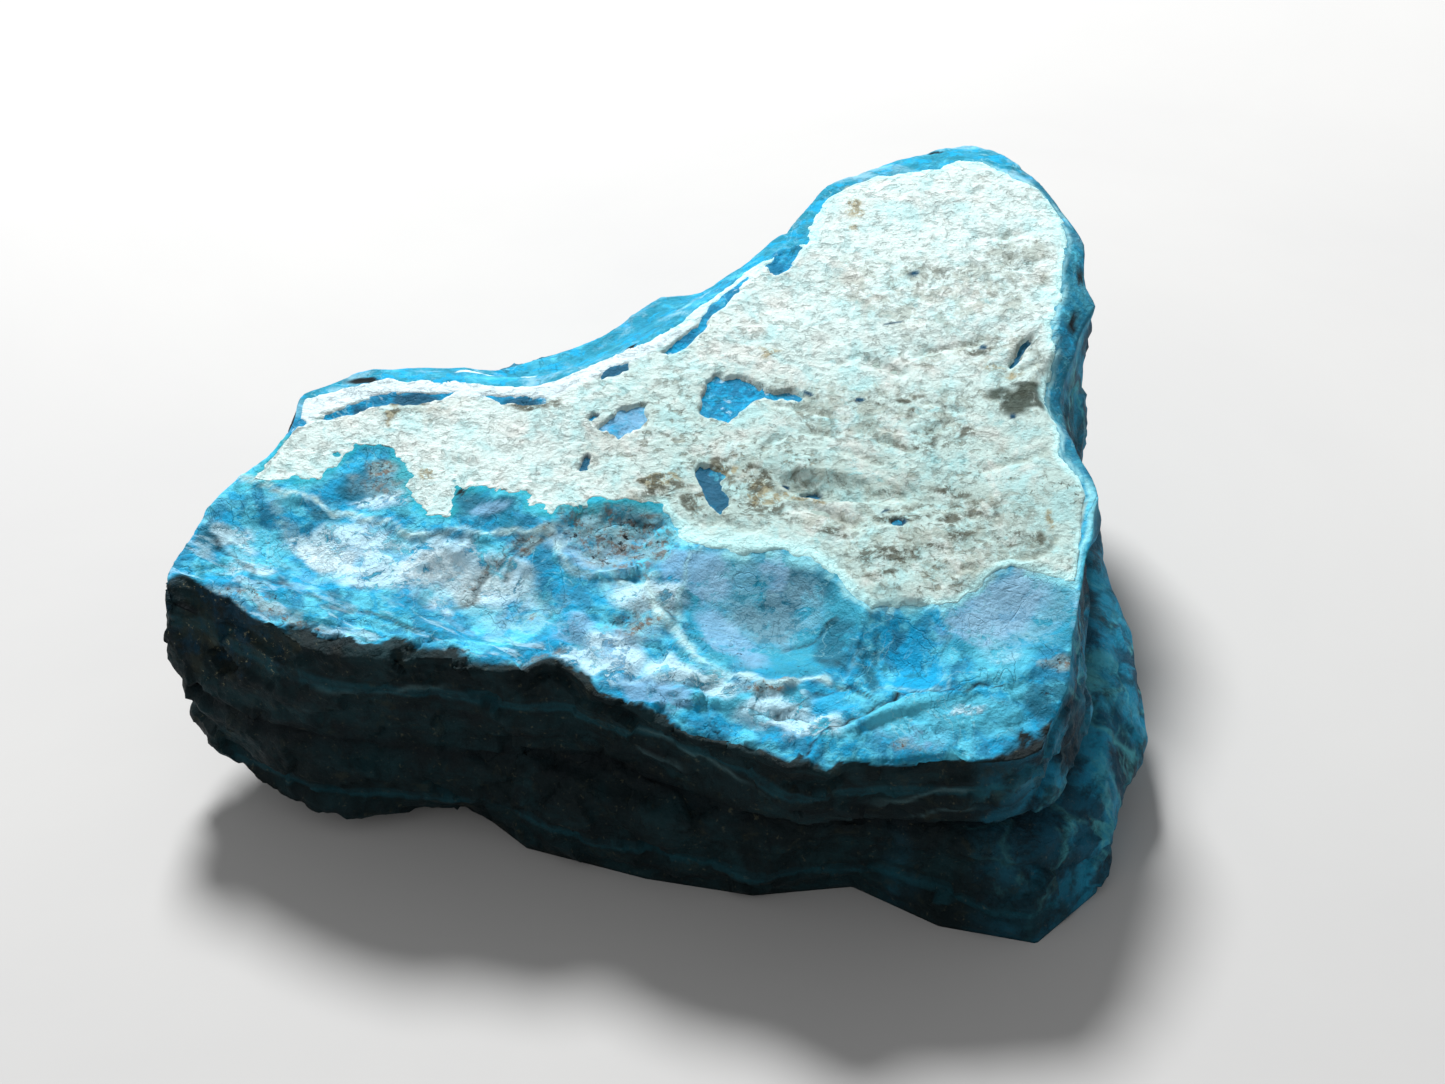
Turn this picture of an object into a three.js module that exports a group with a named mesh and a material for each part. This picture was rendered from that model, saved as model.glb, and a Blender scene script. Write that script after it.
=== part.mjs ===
// Raw chrysocolla: a hand specimen of banded blue copper silicate with a chalky pale crust on its upper
// face. It is one natural stone, so it is one closed solid.
//
// Millimetres, +Z up. The stone rests on z = 0, with the origin under the middle of its bounding box. -Y is
// the broken front, +Y the peak at the back, and the left tip points to -X.
//
// The upper face is a sheet laid over four lines that run from left to right: the front of the brow, the two
// edges of the crust, and the back of the brow. The wall goes down from the brow past a pale bed, the open
// seam and the belly to the foot, each an outline seen from an upright axis, the heart. Hollows, plates,
// bedding layers, chips and weathering are then worked into that shape.

import * as THREE from "three";

// ---- Driving dimensions ----

const HEART = { x: 1, y: -6 };
const UPPER_FACE = { level: 20.3, riseX: 0.02, riseY: 0.16 }; // height at the origin, and its slopes
const SWELL = { height: 0.45, size: 19 }; // how the upper face departs from its plane
const CRUST = { thickness: 0.9, edgeWidth: 0.7, relief: 0.15, reliefSize: 3.7 }; // it thins out over its edge
const SEAM = { cut: 1.5, halfHeight: 0.65 }; // an open parting between two beds, right round the stone
const LAYER = { thickness: 2.3, jut: 0.45, softness: 0.25 }; // thinner bedding layers on the walls
const LAYER_MARGIN = 0.12; // share of the wall over which the layers fade out at its top and foot
const WEATHERING = { coarse: 0.7, coarseSize: 8, fine: 0.35, fineSize: 3 };
const WEATHERING_MARGIN = { row: 0.5, share: 0.06, foot: 0.15 }; // it fades out over these
const CHIP_BORDER = 0.35; // share of a chip's radius over which it fades out
const UNDERSIDE = { hollow: 4, size: 9, threshold: 0.02, margin: 0.1 };

// ---- Mesh density ----

const FACE_COLUMNS = 48; // cells from left to right, on the upper face and on the underside
// The upper face's rows: 0 to 1 over the blue ledge, 1 to 2 over the crust, 2 to 3 over the bevel behind it.
const FACE_ROWS = [
  0, 0.14, 0.28, 0.42, 0.56, 0.7, 0.82, 0.93, 1, 1.07, 1.15, 1.23, 1.31, 1.39, 1.47, 1.55, 1.63, 1.71,
  1.79, 1.87, 1.94, 2, 2.14, 2.35, 2.65, 3,
];
const LAST_ROW = 3;
// The wall's rows, as shares of the way down, and the shares at brow, bed, seam, belly and foot.
const WALL_ROWS = [0, 0.09, 0.18, 0.27, 0.35, 0.42, 0.465, 0.5, 0.535, 0.58, 0.66, 0.76, 0.88, 1];
const WALL_KNOTS = [0, 0.27, 0.5, 0.76, 1];

// ---- The upper face's lines, from left to right or from front to back ----

const BROW_FRONT = [
  [-32.5, -13.5], [-31.2, -14.8], [-26.5, -16.2], [-20.6, -18.4], [-13.9, -19], [-10.1, -19.8],
  [-7.2, -18.9], [-3.3, -22.6], [1.4, -25.1], [6.3, -26.6], [10.6, -28.2], [16.7, -27.5], [21.1, -26.2],
  [23.6, -25.3],
];
const CRUST_FRONT = [
  [-28.4, -5], [-23.9, -6], [-21.7, -8.2], [-14.4, -9], [-10.6, -7.1], [-2.7, -7.6], [0.2, -8],
  [2.5, -11.4], [6.4, -12], [10.9, -13.8], [13.4, -16.7], [17.2, -16.6], [21.8, -13.7], [27.2, -14.6],
];
const CRUST_BACK = [
  [-23.3, 1.6], [-20, 3.2], [-9.8, 2.9], [-4.4, 4.6], [1.1, 8.8], [5.6, 12.9], [9.5, 16.8], [12.1, 21.6],
  [16.8, 23.2], [22.4, 25.1], [24.6, 24.4],
];
const BROW_BACK = [
  [-22.5, 4.3], [-20.6, 5.5], [-15.6, 7.4], [-10.3, 10.6], [-4.7, 12.9], [1, 16], [5.3, 17.3],
  [8.5, 18.8], [11.5, 23.4], [17, 26.8], [22.1, 28.7], [24.6, 26.6],
];
const BROW_LEFT = [[-32.5, -13.5], [-31.5, -10], [-29.9, -6.3], [-26.1, -1.1], [-24.2, 3.2], [-22.5, 4.3]];
const BROW_RIGHT = [
  [23.6, -25.3], [25.3, -21.1], [25.8, -17.7], [27.5, -13.9], [28.6, -7.1], [27.8, -2.4], [27.5, 3.4],
  [29.3, 8.9], [30.2, 13.7], [29.8, 18.1], [26.7, 24.4], [24.6, 26.6],
];
// The shares of the left and right ends of the brow that face rows 0, 1, 2 and 3 reach.
const LEFT_ENDS = [0, 0.42, 0.86, 1];
const RIGHT_ENDS = [0, 0.22, 0.92, 1];
const CRUST_RIGHT = [
  [27.9, -11.3], [28.1, -6.6], [26.5, -3.5], [25.8, 1.5], [27.3, 8], [28.1, 16.9], [26.2, 22.9],
];

// ---- The wall's outlines, anticlockwise from the left tip, as [x, y, z] ----

const BED = [
  [-31.3, -8.5, 13.5], [-32.2, -13, 13.5], [-28.4, -16, 12.3], [-21.2, -18.8, 12.8], [-14.6, -19.2, 13.2],
  [-10, -19.6, 13.4], [-6.3, -20.6, 13.2], [-0.6, -23.1, 12.3], [5.1, -25.6, 11.2], [8.9, -26.6, 11],
  [15.5, -27.1, 11.3], [21.6, -26.4, 12], [24.4, -25.2, 12], [26.6, -21.4, 12.6], [27.7, -14, 13.6],
  [28.4, -6.5, 14.6], [28.1, 1, 15.4], [29.6, 10, 16.2], [30.4, 17, 17.6], [27, 24.4, 18.6],
  [22, 28.5, 18.8], [16.6, 26.6, 18.4], [9.6, 20.6, 17.4], [1.4, 17.2, 16.2], [-8, 13.2, 15.8],
  [-17.6, 8, 16], [-24.4, 3.4, 15.6], [-28.6, -2.6, 14.8],
];
const SEAM_LINE = [
  [-31, -7, 10], [-32, -12.8, 9.8], [-30.2, -15.6, 9.2], [-24.6, -17.8, 8.6], [-18, -18.8, 7.7],
  [-14, -18.9, 7.3], [-9.5, -19.1, 8.1], [-3.9, -21.3, 8.5], [2.6, -23.7, 7.5], [8.9, -25.3, 7.6],
  [16, -26.1, 7.9], [21.6, -25.8, 7.5], [25.4, -24.3, 7.3], [27.8, -21, 8.4], [28.3, -14, 9.3],
  [28.8, -6, 9.9], [28.4, 2, 10.8], [29.6, 10, 11.8], [30, 17, 12.8], [26.5, 24, 13.8], [21.5, 27.5, 14],
  [15, 25.5, 13.6], [8, 20.5, 12.8], [0, 18, 12.2], [-9, 14.5, 11.8], [-18, 8.5, 11.6], [-24.5, 3, 11],
  [-28, -2, 10.5],
];
const BELLY = [
  [-29, -8, 6], [-31, -12.6, 5.2], [-30.2, -15.4, 4.4], [-26, -17.6, 2.4], [-20.5, -18.6, 1.8],
  [-15, -18.3, 2.8], [-11.5, -19.5, 4.5], [-5, -22.6, 4.5], [2, -24.3, 4.2], [9, -25.3, 4], [15, -25, 4],
  [21, -27.6, 3.5], [26, -27.3, 3], [29.8, -23.8, 3], [32.3, -16, 4], [32.6, -9, 4.5], [31.8, -1, 5],
  [30, 8, 5.5], [28.5, 16, 6], [24, 21, 6.5], [16, 22, 6.5], [6, 18.5, 6], [-4, 14, 6], [-14, 9, 6],
  [-20, 4, 6.5], [-24.5, -2, 6.5],
];
const FOOT = [
  [-14, -15, 0], [-9, -20, 0], [-1, -22.8, 0], [6, -24.3, 0], [12.5, -23.5, 0], [18, -27, 0],
  [24.2, -28.5, 0], [28.5, -24, 0], [30.3, -14, 0], [29.5, -4, 0], [26.5, 6, 0], [21, 13, 0], [12, 14, 0],
  [2, 10.5, 0], [-8, 5, 0], [-14, -1, 0], [-16.5, -8, 0],
];

// How steeply the blue stone falls away outside the crust, as [direction from the heart in degrees, slope].
const FALLS = [
  [-170, 0.05], [-140, 0.04], [-90, 0.03], [-45, 0.05], [-20, 0.05], [0, 0.1], [15, 0.45], [35, 0.6],
  [58, 0.18], [72, 0.15], [90, 0.3], [130, 0.3], [160, 0.1], [190, 0.05],
];

// ---- Broken and hollowed places ----

// Shell-shaped hollows in the upper face: an ellipse at x, y with half axes a and b, turned, and its depth.
const SCOOPS = {
  bowl: { x: -11.3, y: -14, a: 5.6, b: 3.5, turn: -15, depth: 1.2 },
  leftShoulder: { x: -24, y: -10, a: 5, b: 2.6, turn: -20, depth: 0.6 },
  rustyHollow: { x: -2, y: -9.5, a: 5, b: 2.4, turn: 0, depth: 0.5 },
  shellFacet: { x: 7, y: -15.8, a: 6, b: 4.2, turn: -20, depth: 0.9 },
  deepBlueHollow: { x: 15.5, y: -18.9, a: 3, b: 3.4, turn: 0, depth: 1.2 },
  rightFacet: { x: 22.3, y: -15.8, a: 4.6, b: 3, turn: 15, depth: 0.7 },
  backScarLeft: { x: -7, y: 10.5, a: 8, b: 4.5, turn: 15, depth: 1.1 },
  backScarRight: { x: 2.5, y: 16, a: 5.5, b: 3.8, turn: 35, depth: 0.9 },
  notchInTheRightRim: { x: 28.6, y: 2, a: 3.6, b: 4.2, turn: 0, depth: 1.3 },
  crustGroove: { x: 11, y: -5.8, a: 4, b: 1.4, turn: -12, depth: 0.8 },
};
// Places where the crust is missing, down to the blue stone.
const WINDOWS = {
  largeWindow: { x: 5, y: 2.6, a: 2.9, b: 1.8, turn: -5 },
  leftWindow: { x: -2.7, y: 0.2, a: 2, b: 1.6, turn: 30 },
  narrowWindow: { x: 3.5, y: -5.8, a: 1.2, b: 2.4, turn: 10 },
};
// Flat broken plates of the upper face, each an outline and how far it lies above the rest.
const PLATES = {
  frontRightSlab: {
    height: -0.9,
    outline: [
      [9.4, -27.4], [11.9, -25.1], [18.9, -22.1], [21.4, -21.8], [26.5, -18.2], [28, -24], [24, -31],
      [9, -31],
    ],
  },
  frontFlakes: {
    height: -0.7,
    outline: [[-4.2, -21.2], [-1.2, -21.3], [2.6, -22.2], [6.4, -23.8], [9.2, -26.6], [9, -31], [-6, -26]],
  },
};
// Flat chips off the walls: the middle of each, the way it faces in degrees round and above the horizon,
// and how far from its middle it reaches.
const CHIPS = {
  leftTipTop: { at: [-26.4, -15, 15.4], round: -125, above: 25, radius: 7 },
  leftTipEnd: { at: [-32, -15.6, 9], round: -131, above: -4, radius: 8 },
  leftTipBack: { at: [-29.7, -5, 10], round: 158, above: -5, radius: 8 },
  backLeft: { at: [-20.5, 6.4, 11], round: 122, above: 6, radius: 9 },
  backMiddle: { at: [-4, 14.2, 8], round: 112, above: -16, radius: 10 },
  peakLeft: { at: [12, 22.6, 15], round: 122, above: -6, radius: 9 },
  peakBack: { at: [24, 25.4, 16], round: 58, above: -6, radius: 8 },
  peakRight: { at: [30.2, 15, 15], round: 4, above: 5, radius: 8 },
  rightSide: { at: [27.4, -12.4, 13.5], round: -8, above: 8, radius: 6 },
  rightSideLow: { at: [30.2, 2, 6], round: 8, above: -14, radius: 9 },
  rightCorner: { at: [25.9, -22.8, 11], round: -36, above: 3, radius: 5 },
  frontRightFoot: { at: [26.6, -25.4, 3], round: -50, above: 14, radius: 5 },
  frontRight: { at: [16.5, -26.6, 11.5], round: -87, above: 3, radius: 7 },
  frontMiddle: { at: [-2.6, -21.4, 11], round: -108, above: -3, radius: 5 },
  frontLeft: { at: [-17, -18.5, 11], round: -95, above: -6, radius: 6 },
};

const DEGREE = Math.PI / 180;
const FULL_TURN = 2 * Math.PI;

// ---- Numbers and noise ----

const clamp = (value, low, high) => Math.min(Math.max(value, low), high);

/** 0 below 0, 1 above 1, and an even S between them. */
function ease(share) {
  const t = clamp(share, 0, 1);
  return t * t * (3 - 2 * t);
}

/** A value from 0 to 1 that belongs to a corner of the unit lattice. */
function cornerValue(x, y, z) {
  const mixed = Math.sin(x * 127.1 + y * 311.7 + z * 74.7) * 43758.5453123;
  return mixed - Math.floor(mixed);
}

/** Smooth noise from -1 to 1, with features about one unit across. */
function noise(x, y, z) {
  const corner = [Math.floor(x), Math.floor(y), Math.floor(z)];
  const share = [x - corner[0], y - corner[1], z - corner[2]].map(
    (f) => f * f * f * (f * (6 * f - 15) + 10),
  );
  let sum = 0;
  for (let i = 0; i < 8; i++) {
    const step = [i & 1, (i >> 1) & 1, i >> 2];
    const weight = step.reduce((w, s, axis) => w * (s ? share[axis] : 1 - share[axis]), 1);
    sum += weight * cornerValue(corner[0] + step[0], corner[1] + step[1], corner[2] + step[2]);
  }
  return 2 * sum - 1;
}

// ---- Outlines seen from the heart ----

const wrapped = (direction) => Math.atan2(Math.sin(direction), Math.cos(direction));

/** An outline's points as seen from the heart, ordered by direction. */
function seenFromHeart(outline) {
  return outline
    .map(([x, y, height]) => ({
      dx: x - HEART.x,
      dy: y - HEART.y,
      direction: Math.atan2(y - HEART.y, x - HEART.x),
      height,
    }))
    .sort((p, q) => p.direction - q.direction);
}

/** The two ordered points on either side of a direction. */
function neighbours(points, direction) {
  const after = Math.max(0, points.findIndex((p) => p.direction > wrapped(direction)));
  return [points[(after + points.length - 1) % points.length], points[after]];
}

/** Where a ray from the heart crosses an outline's straight edges: its distance and height there. */
function crossing(points, direction) {
  const [p, q] = neighbours(points, direction);
  const [c, s] = [Math.cos(direction), Math.sin(direction)];
  const [ex, ey] = [q.dx - p.dx, q.dy - p.dy];
  const facing = c * ey - s * ex;
  const way = (s * p.dx - c * p.dy) / facing;
  return { distance: (p.dx * ey - p.dy * ex) / facing, height: p.height + (q.height - p.height) * way };
}

const beds = [BED, SEAM_LINE, BELLY, FOOT].map(seenFromHeart);
const falls = FALLS.map(([degrees, slope]) => ({ direction: wrapped(degrees * DEGREE), slope })).sort(
  (p, q) => p.direction - q.direction,
);

/** How steeply the blue stone falls away outside the crust in a direction. */
function fallSlope(direction) {
  const [p, q] = neighbours(falls, direction);
  const span = (q.direction - p.direction + FULL_TURN) % FULL_TURN;
  const way = (wrapped(direction) - p.direction + FULL_TURN) % FULL_TURN;
  return p.slope + ((q.slope - p.slope) * way) / span;
}

// ---- The upper face ----

const crustOutline = [...CRUST_FRONT, ...CRUST_RIGHT, ...CRUST_BACK.toReversed()];

/** The point a share of the way along a line, by length. */
function along(line, share) {
  const lengths = line.slice(1).map(([x, y], i) => Math.hypot(x - line[i][0], y - line[i][1]));
  let left = share * lengths.reduce((sum, length) => sum + length, 0);
  let i = 0;
  while (i < lengths.length - 1 && left > lengths[i]) left -= lengths[i++];
  return new THREE.Vector2(...line[i]).lerp(new THREE.Vector2(...line[i + 1]), left / lengths[i]);
}

/** The place of a row and a share from left to right on the upper face, seen from above. */
function facePlace(row, share) {
  const lines = [BROW_FRONT, CRUST_FRONT, CRUST_BACK, BROW_BACK];
  const strip = Math.min(Math.floor(row), 2);
  const way = row - strip;
  const across = (at) => along(lines[strip], at).lerp(along(lines[strip + 1], at), way);
  const end = (side, ends) => along(side, ends[strip] + (ends[strip + 1] - ends[strip]) * way);
  // The ends of each row are pulled onto the brow, and the rest of the row follows less and less.
  const pullLeft = end(BROW_LEFT, LEFT_ENDS).sub(across(0));
  const pullRight = end(BROW_RIGHT, RIGHT_ENDS).sub(across(1));
  return across(share)
    .addScaledVector(pullLeft, (1 - share) ** 3)
    .addScaledVector(pullRight, share ** 3);
}

/** Distance from (x, y) to the closed outline, above 0 inside it. */
function depthInside(x, y, outline) {
  let nearest = Infinity;
  let inside = false;
  outline.forEach(([ax, ay], i) => {
    const [bx, by] = outline[(i + 1) % outline.length];
    const share = clamp(
      ((x - ax) * (bx - ax) + (y - ay) * (by - ay)) / ((bx - ax) ** 2 + (by - ay) ** 2),
      0,
      1,
    );
    nearest = Math.min(nearest, Math.hypot(x - ax - share * (bx - ax), y - ay - share * (by - ay)));
    if (ay > y !== by > y && x < ax + ((y - ay) * (bx - ax)) / (by - ay)) inside = !inside;
  });
  return inside ? nearest : -nearest;
}

/** How deep (x, y) lies in an ellipse: 1 at its centre, 0 on its rim and beyond it. */
function depthInEllipse(x, y, { x: cx, y: cy, a, b, turn }) {
  const c = Math.cos(turn * DEGREE);
  const s = Math.sin(turn * DEGREE);
  const along = ((x - cx) * c + (y - cy) * s) / a;
  const across = ((y - cy) * c - (x - cx) * s) / b;
  return Math.max(0, 1 - along * along - across * across);
}

/** Height of the crust's own face, a plane with a gentle swell. */
function crustLevel(x, y) {
  const swell = SWELL.height * noise(x / SWELL.size + 3.3, y / SWELL.size + 1.7, 0.5);
  return UPPER_FACE.level + UPPER_FACE.riseX * x + UPPER_FACE.riseY * y + swell;
}

/** Height of the upper face at (x, y), with the crust on it. */
function upperHeight(x, y) {
  const inside = depthInside(x, y, crustOutline);
  const direction = Math.atan2(y - HEART.y, x - HEART.x);
  const opened = Math.max(...Object.values(WINDOWS).map((w) => ease(2 * depthInEllipse(x, y, w))));
  const crustShare = ease(1 + inside / CRUST.edgeWidth) * (1 - opened);
  const relief = CRUST.relief * noise(x / CRUST.reliefSize, y / CRUST.reliefSize, 2.2);
  const fallen = fallSlope(direction) * Math.max(0, -inside);
  const scooped = Object.values(SCOOPS).reduce((sum, s) => sum + s.depth * depthInEllipse(x, y, s), 0);
  const plated = Object.values(PLATES).reduce(
    (sum, p) => sum + p.height * ease(0.5 + depthInside(x, y, p.outline) / CRUST.edgeWidth),
    0,
  );
  return crustLevel(x, y) + relief - CRUST.thickness * (1 - crustShare) - fallen - scooped + plated;
}

// ---- The walls ----

/** The point at a distance and height in a direction from the heart. */
function pointFromHeart(direction, distance, height) {
  return new THREE.Vector3(
    HEART.x + distance * Math.cos(direction),
    HEART.y + distance * Math.sin(direction),
    height,
  );
}

/** How far the thinner bedding layers stand out, by depth below the crust and by direction. */
function layerOffset(depth, direction) {
  const wobble = noise(2 * Math.cos(direction) + 5, 2 * Math.sin(direction), 0.3);
  const level = (depth + wobble) / LAYER.thickness;
  const layer = Math.floor(level);
  const jut = (k) => noise(3 * Math.cos(direction) + 7.1 * k, 3 * Math.sin(direction), 1.3 * k);
  const blend = ease((level - layer - 1 + LAYER.softness) / LAYER.softness);
  return LAYER.jut * (jut(layer) * (1 - blend) + jut(layer + 1) * blend);
}

/** How far the open seam cuts in, by height above it and by direction. */
function seamCut(above, direction) {
  const strength = 0.8 + 0.4 * noise(1.6 * Math.cos(direction), 1.6 * Math.sin(direction), 4.2);
  return SEAM.cut * strength * Math.exp(-((above / SEAM.halfHeight) ** 2));
}

/** A point of the wall, share of the way down from a point of the brow to the foot. */
function wallPoint(share, browPoint) {
  const [dx, dy] = [browPoint.x - HEART.x, browPoint.y - HEART.y];
  const direction = Math.atan2(dy, dx);
  const levels = [{ distance: Math.hypot(dx, dy), height: browPoint.z }];
  levels.push(...beds.map((bed) => crossing(bed, direction)));
  const knot = Math.max(1, WALL_KNOTS.findIndex((k) => k >= share));
  const way = (share - WALL_KNOTS[knot - 1]) / (WALL_KNOTS[knot] - WALL_KNOTS[knot - 1]);
  const [over, under] = [levels[knot - 1], levels[knot]];
  // The beds bulge above and below the seam; elsewhere the wall is straight.
  const bulges = [way, 1 - Math.cos((way * Math.PI) / 2), Math.sin((way * Math.PI) / 2), way];
  const distance = over.distance + (under.distance - over.distance) * bulges[knot - 1];
  const height = over.height + (under.height - over.height) * way;
  const plain = pointFromHeart(direction, distance, height);
  const clearOfEdges = ease(share / LAYER_MARGIN) * ease((1 - share) / LAYER_MARGIN);
  const moved =
    clearOfEdges * layerOffset(crustLevel(plain.x, plain.y) - height, direction) -
    seamCut(height - levels[2].height, direction);
  return pointFromHeart(direction, distance + moved, height);
}

/** The unit vector that points round from +X and above the horizon, both in degrees. */
function facing(round, above) {
  const level = Math.cos(above * DEGREE);
  return new THREE.Vector3(
    level * Math.cos(round * DEGREE),
    level * Math.sin(round * DEGREE),
    Math.sin(above * DEGREE),
  );
}

/** Moves a point that lies beyond a chip's plane straight back onto it, less so at the chip's border. */
function chipped(point) {
  for (const { at, round, above, radius } of Object.values(CHIPS)) {
    const fromMiddle = point.clone().sub(new THREE.Vector3(...at));
    const within = ease((radius - fromMiddle.length()) / (CHIP_BORDER * radius));
    const normal = facing(round, above);
    point.addScaledVector(normal, -within * Math.max(0, normal.dot(fromMiddle)));
  }
  return point;
}

/** Weathers a point in or out, level with the ground and away from the heart. */
function weathered(point, amount) {
  const { coarse, coarseSize, fine, fineSize } = WEATHERING;
  const rough = (size, seed) => noise(point.x / size + seed, point.y / size, point.z / size + seed);
  const ridged = 0.5 - 2 * Math.abs(rough(coarseSize, 2.5));
  const push = amount * (coarse * ridged + fine * rough(fineSize, 9.1));
  const outward = new THREE.Vector3(point.x - HEART.x, point.y - HEART.y, 0).normalize();
  return point.addScaledVector(outward, push);
}

/** Height of the underside: flat on the ground, with shallow hollows that open away from the foot. */
function undersideHeight(x, y, fromEdge) {
  const { hollow, size, threshold, margin } = UNDERSIDE;
  const raised = noise(x / size + 11, y / size + 4, 7.5) - threshold;
  return hollow * Math.max(0, raised) * ease(fromEdge / margin);
}

// ---- The solid ----

/** The upper face's point at a row and a share from left to right, broken and weathered near the brow. */
function upperPoint(row, share) {
  const { x, y } = facePlace(row, share);
  const point = new THREE.Vector3(x, y, upperHeight(x, y));
  const fromEnds = Math.min(share, 1 - share) / WEATHERING_MARGIN.share;
  const fromFrontOrBack = Math.min(row, LAST_ROW - row) / WEATHERING_MARGIN.row;
  return chipped(weathered(point, ease(1 - Math.min(fromEnds, fromFrontOrBack))));
}

/** The foot's point under a point of the brow. */
function footPoint(browPoint) {
  const direction = Math.atan2(browPoint.y - HEART.y, browPoint.x - HEART.x);
  return chipped(pointFromHeart(direction, crossing(beds[3], direction).distance, 0)).setZ(0);
}

/** Builds the stone as one closed, indexed geometry. */
function stoneGeometry() {
  const last = { column: FACE_COLUMNS, row: FACE_ROWS.length - 1 };
  const points = [];
  const triangles = [];
  const addPoint = (point) => points.push(point) - 1;
  const quad = (a, b, c, d) => {
    const diagonal = (p, q) => points[p].distanceToSquared(points[q]);
    if (diagonal(a, c) < diagonal(b, d)) triangles.push(a, b, c, a, c, d);
    else triangles.push(a, b, d, b, c, d);
  };
  const sheet = (spot) =>
    Array.from({ length: last.column + 1 }, (_, i) => FACE_ROWS.map((_row, j) => addPoint(spot(i, j))));

  // The border of a sheet, anticlockwise from above, as [column, row] places.
  const border = [];
  for (let i = 0; i < last.column; i++) border.push([i, 0]);
  for (let j = 0; j < last.row; j++) border.push([last.column, j]);
  for (let i = last.column; i > 0; i--) border.push([i, last.row]);
  for (let j = last.row; j > 0; j--) border.push([0, j]);

  const upper = sheet((i, j) => upperPoint(FACE_ROWS[j], i / last.column));
  const rim = border.map(([i, j]) => {
    const { x, y } = facePlace(FACE_ROWS[j], i / last.column);
    return new THREE.Vector3(x, y, upperHeight(x, y));
  });

  // The underside is spread evenly between the foot's four sides.
  const feet = new Map(border.map(([i, j], k) => [`${i},${j}`, footPoint(rim[k])]));
  const lower = sheet((i, j) => {
    const [s, t] = [i / last.column, j / last.row];
    const foot = (column, row) => feet.get(`${column},${row}`);
    const spot = new THREE.Vector3()
      .addScaledVector(foot(i, 0), 1 - t)
      .addScaledVector(foot(i, last.row), t)
      .addScaledVector(foot(0, j), 1 - s)
      .addScaledVector(foot(last.column, j), s)
      .addScaledVector(foot(0, 0), -(1 - s) * (1 - t))
      .addScaledVector(foot(last.column, 0), -s * (1 - t))
      .addScaledVector(foot(0, last.row), -(1 - s) * t)
      .addScaledVector(foot(last.column, last.row), -s * t);
    const fromEdge = Math.min(s, 1 - s, t, 1 - t);
    return spot.setZ(undersideHeight(spot.x, spot.y, fromEdge));
  });

  for (let i = 0; i < last.column; i++) {
    for (let j = 0; j < last.row; j++) {
      quad(upper[i][j], upper[i + 1][j], upper[i + 1][j + 1], upper[i][j + 1]);
      quad(lower[i][j], lower[i][j + 1], lower[i + 1][j + 1], lower[i + 1][j]);
    }
  }

  const rows = WALL_ROWS.slice(1, -1).map((share) =>
    rim.map((browPoint) => {
      const point = weathered(wallPoint(share, browPoint), ease((1 - share) / WEATHERING_MARGIN.foot));
      return addPoint(chipped(point));
    }),
  );
  rows.unshift(border.map(([i, j]) => upper[i][j]));
  rows.push(border.map(([i, j]) => lower[i][j]));
  for (let row = 0; row < rows.length - 1; row++) {
    for (let column = 0; column < border.length; column++) {
      const next = (column + 1) % border.length;
      quad(rows[row][column], rows[row + 1][column], rows[row + 1][next], rows[row][next]);
    }
  }

  const geometry = new THREE.BufferGeometry().setFromPoints(points);
  geometry.setIndex(triangles);
  geometry.computeVertexNormals();
  return geometry;
}

const chrysocolla = new THREE.MeshStandardMaterial({
  color: 0x2f93b8,
  roughness: 0.45,
  metalness: 0,
  flatShading: true,
});

const stone = new THREE.Mesh(stoneGeometry(), chrysocolla);
stone.name = "stone";

const specimen = new THREE.Group();
specimen.add(stone);

export default specimen;
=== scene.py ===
"""Raw chrysocolla: a waxy blue stone under a chalky pale crust, resting on a pale studio floor.

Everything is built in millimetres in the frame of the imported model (+Z up, -Y the broken front) and turned
into metres when a mesh is made. Two pieces stand for the stone: the blue body, and the thin crust on its
upper face, whose torn border and open windows are where the crust's sheet dips under the body's.
"""

import itertools
import logging
import math
from dataclasses import dataclass
from typing import ClassVar

import bpy
import numpy as np
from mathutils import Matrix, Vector


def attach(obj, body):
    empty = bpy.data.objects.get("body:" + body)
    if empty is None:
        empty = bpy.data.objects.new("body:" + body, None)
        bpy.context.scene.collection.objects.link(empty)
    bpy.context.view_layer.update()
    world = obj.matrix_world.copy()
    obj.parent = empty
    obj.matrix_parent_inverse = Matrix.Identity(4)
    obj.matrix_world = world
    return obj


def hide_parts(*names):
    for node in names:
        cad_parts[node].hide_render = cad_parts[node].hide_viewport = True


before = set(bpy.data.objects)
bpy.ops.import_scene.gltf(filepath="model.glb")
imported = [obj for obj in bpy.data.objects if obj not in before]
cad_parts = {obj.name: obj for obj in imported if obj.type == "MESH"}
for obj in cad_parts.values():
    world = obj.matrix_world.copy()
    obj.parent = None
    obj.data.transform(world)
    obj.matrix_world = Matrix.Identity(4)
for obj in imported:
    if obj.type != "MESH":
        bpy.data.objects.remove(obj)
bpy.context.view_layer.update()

log = logging.getLogger("chrysocolla")

Array = np.ndarray
Places = tuple[np.ndarray, np.ndarray]
Masks = dict[str, np.ndarray]
Place = tuple[float, float]
Spot3 = tuple[float, float, float]
Socket = bpy.types.NodeSocket

MM = 0.001
TINY = 1e-12
# The lattice noise: how a corner's x, y and z are mixed, and how far the mix is spread.
MIX_X, MIX_Y, MIX_Z = 127.1, 311.7, 74.7
MIX_SPREAD = 43758.5453123
# From one layer of noise to the next: how far it is shifted, and how much finer it is.
LAYER_SHIFT = 17.3
LAYER_SCALE = 2.07
# How deep the finishes' own bumps are, in metres.
BUMP_DEPTH = 0.00045
NODE = "stone"
BODY = "root"


# Numbers and noise -------------------------------------------


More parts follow.
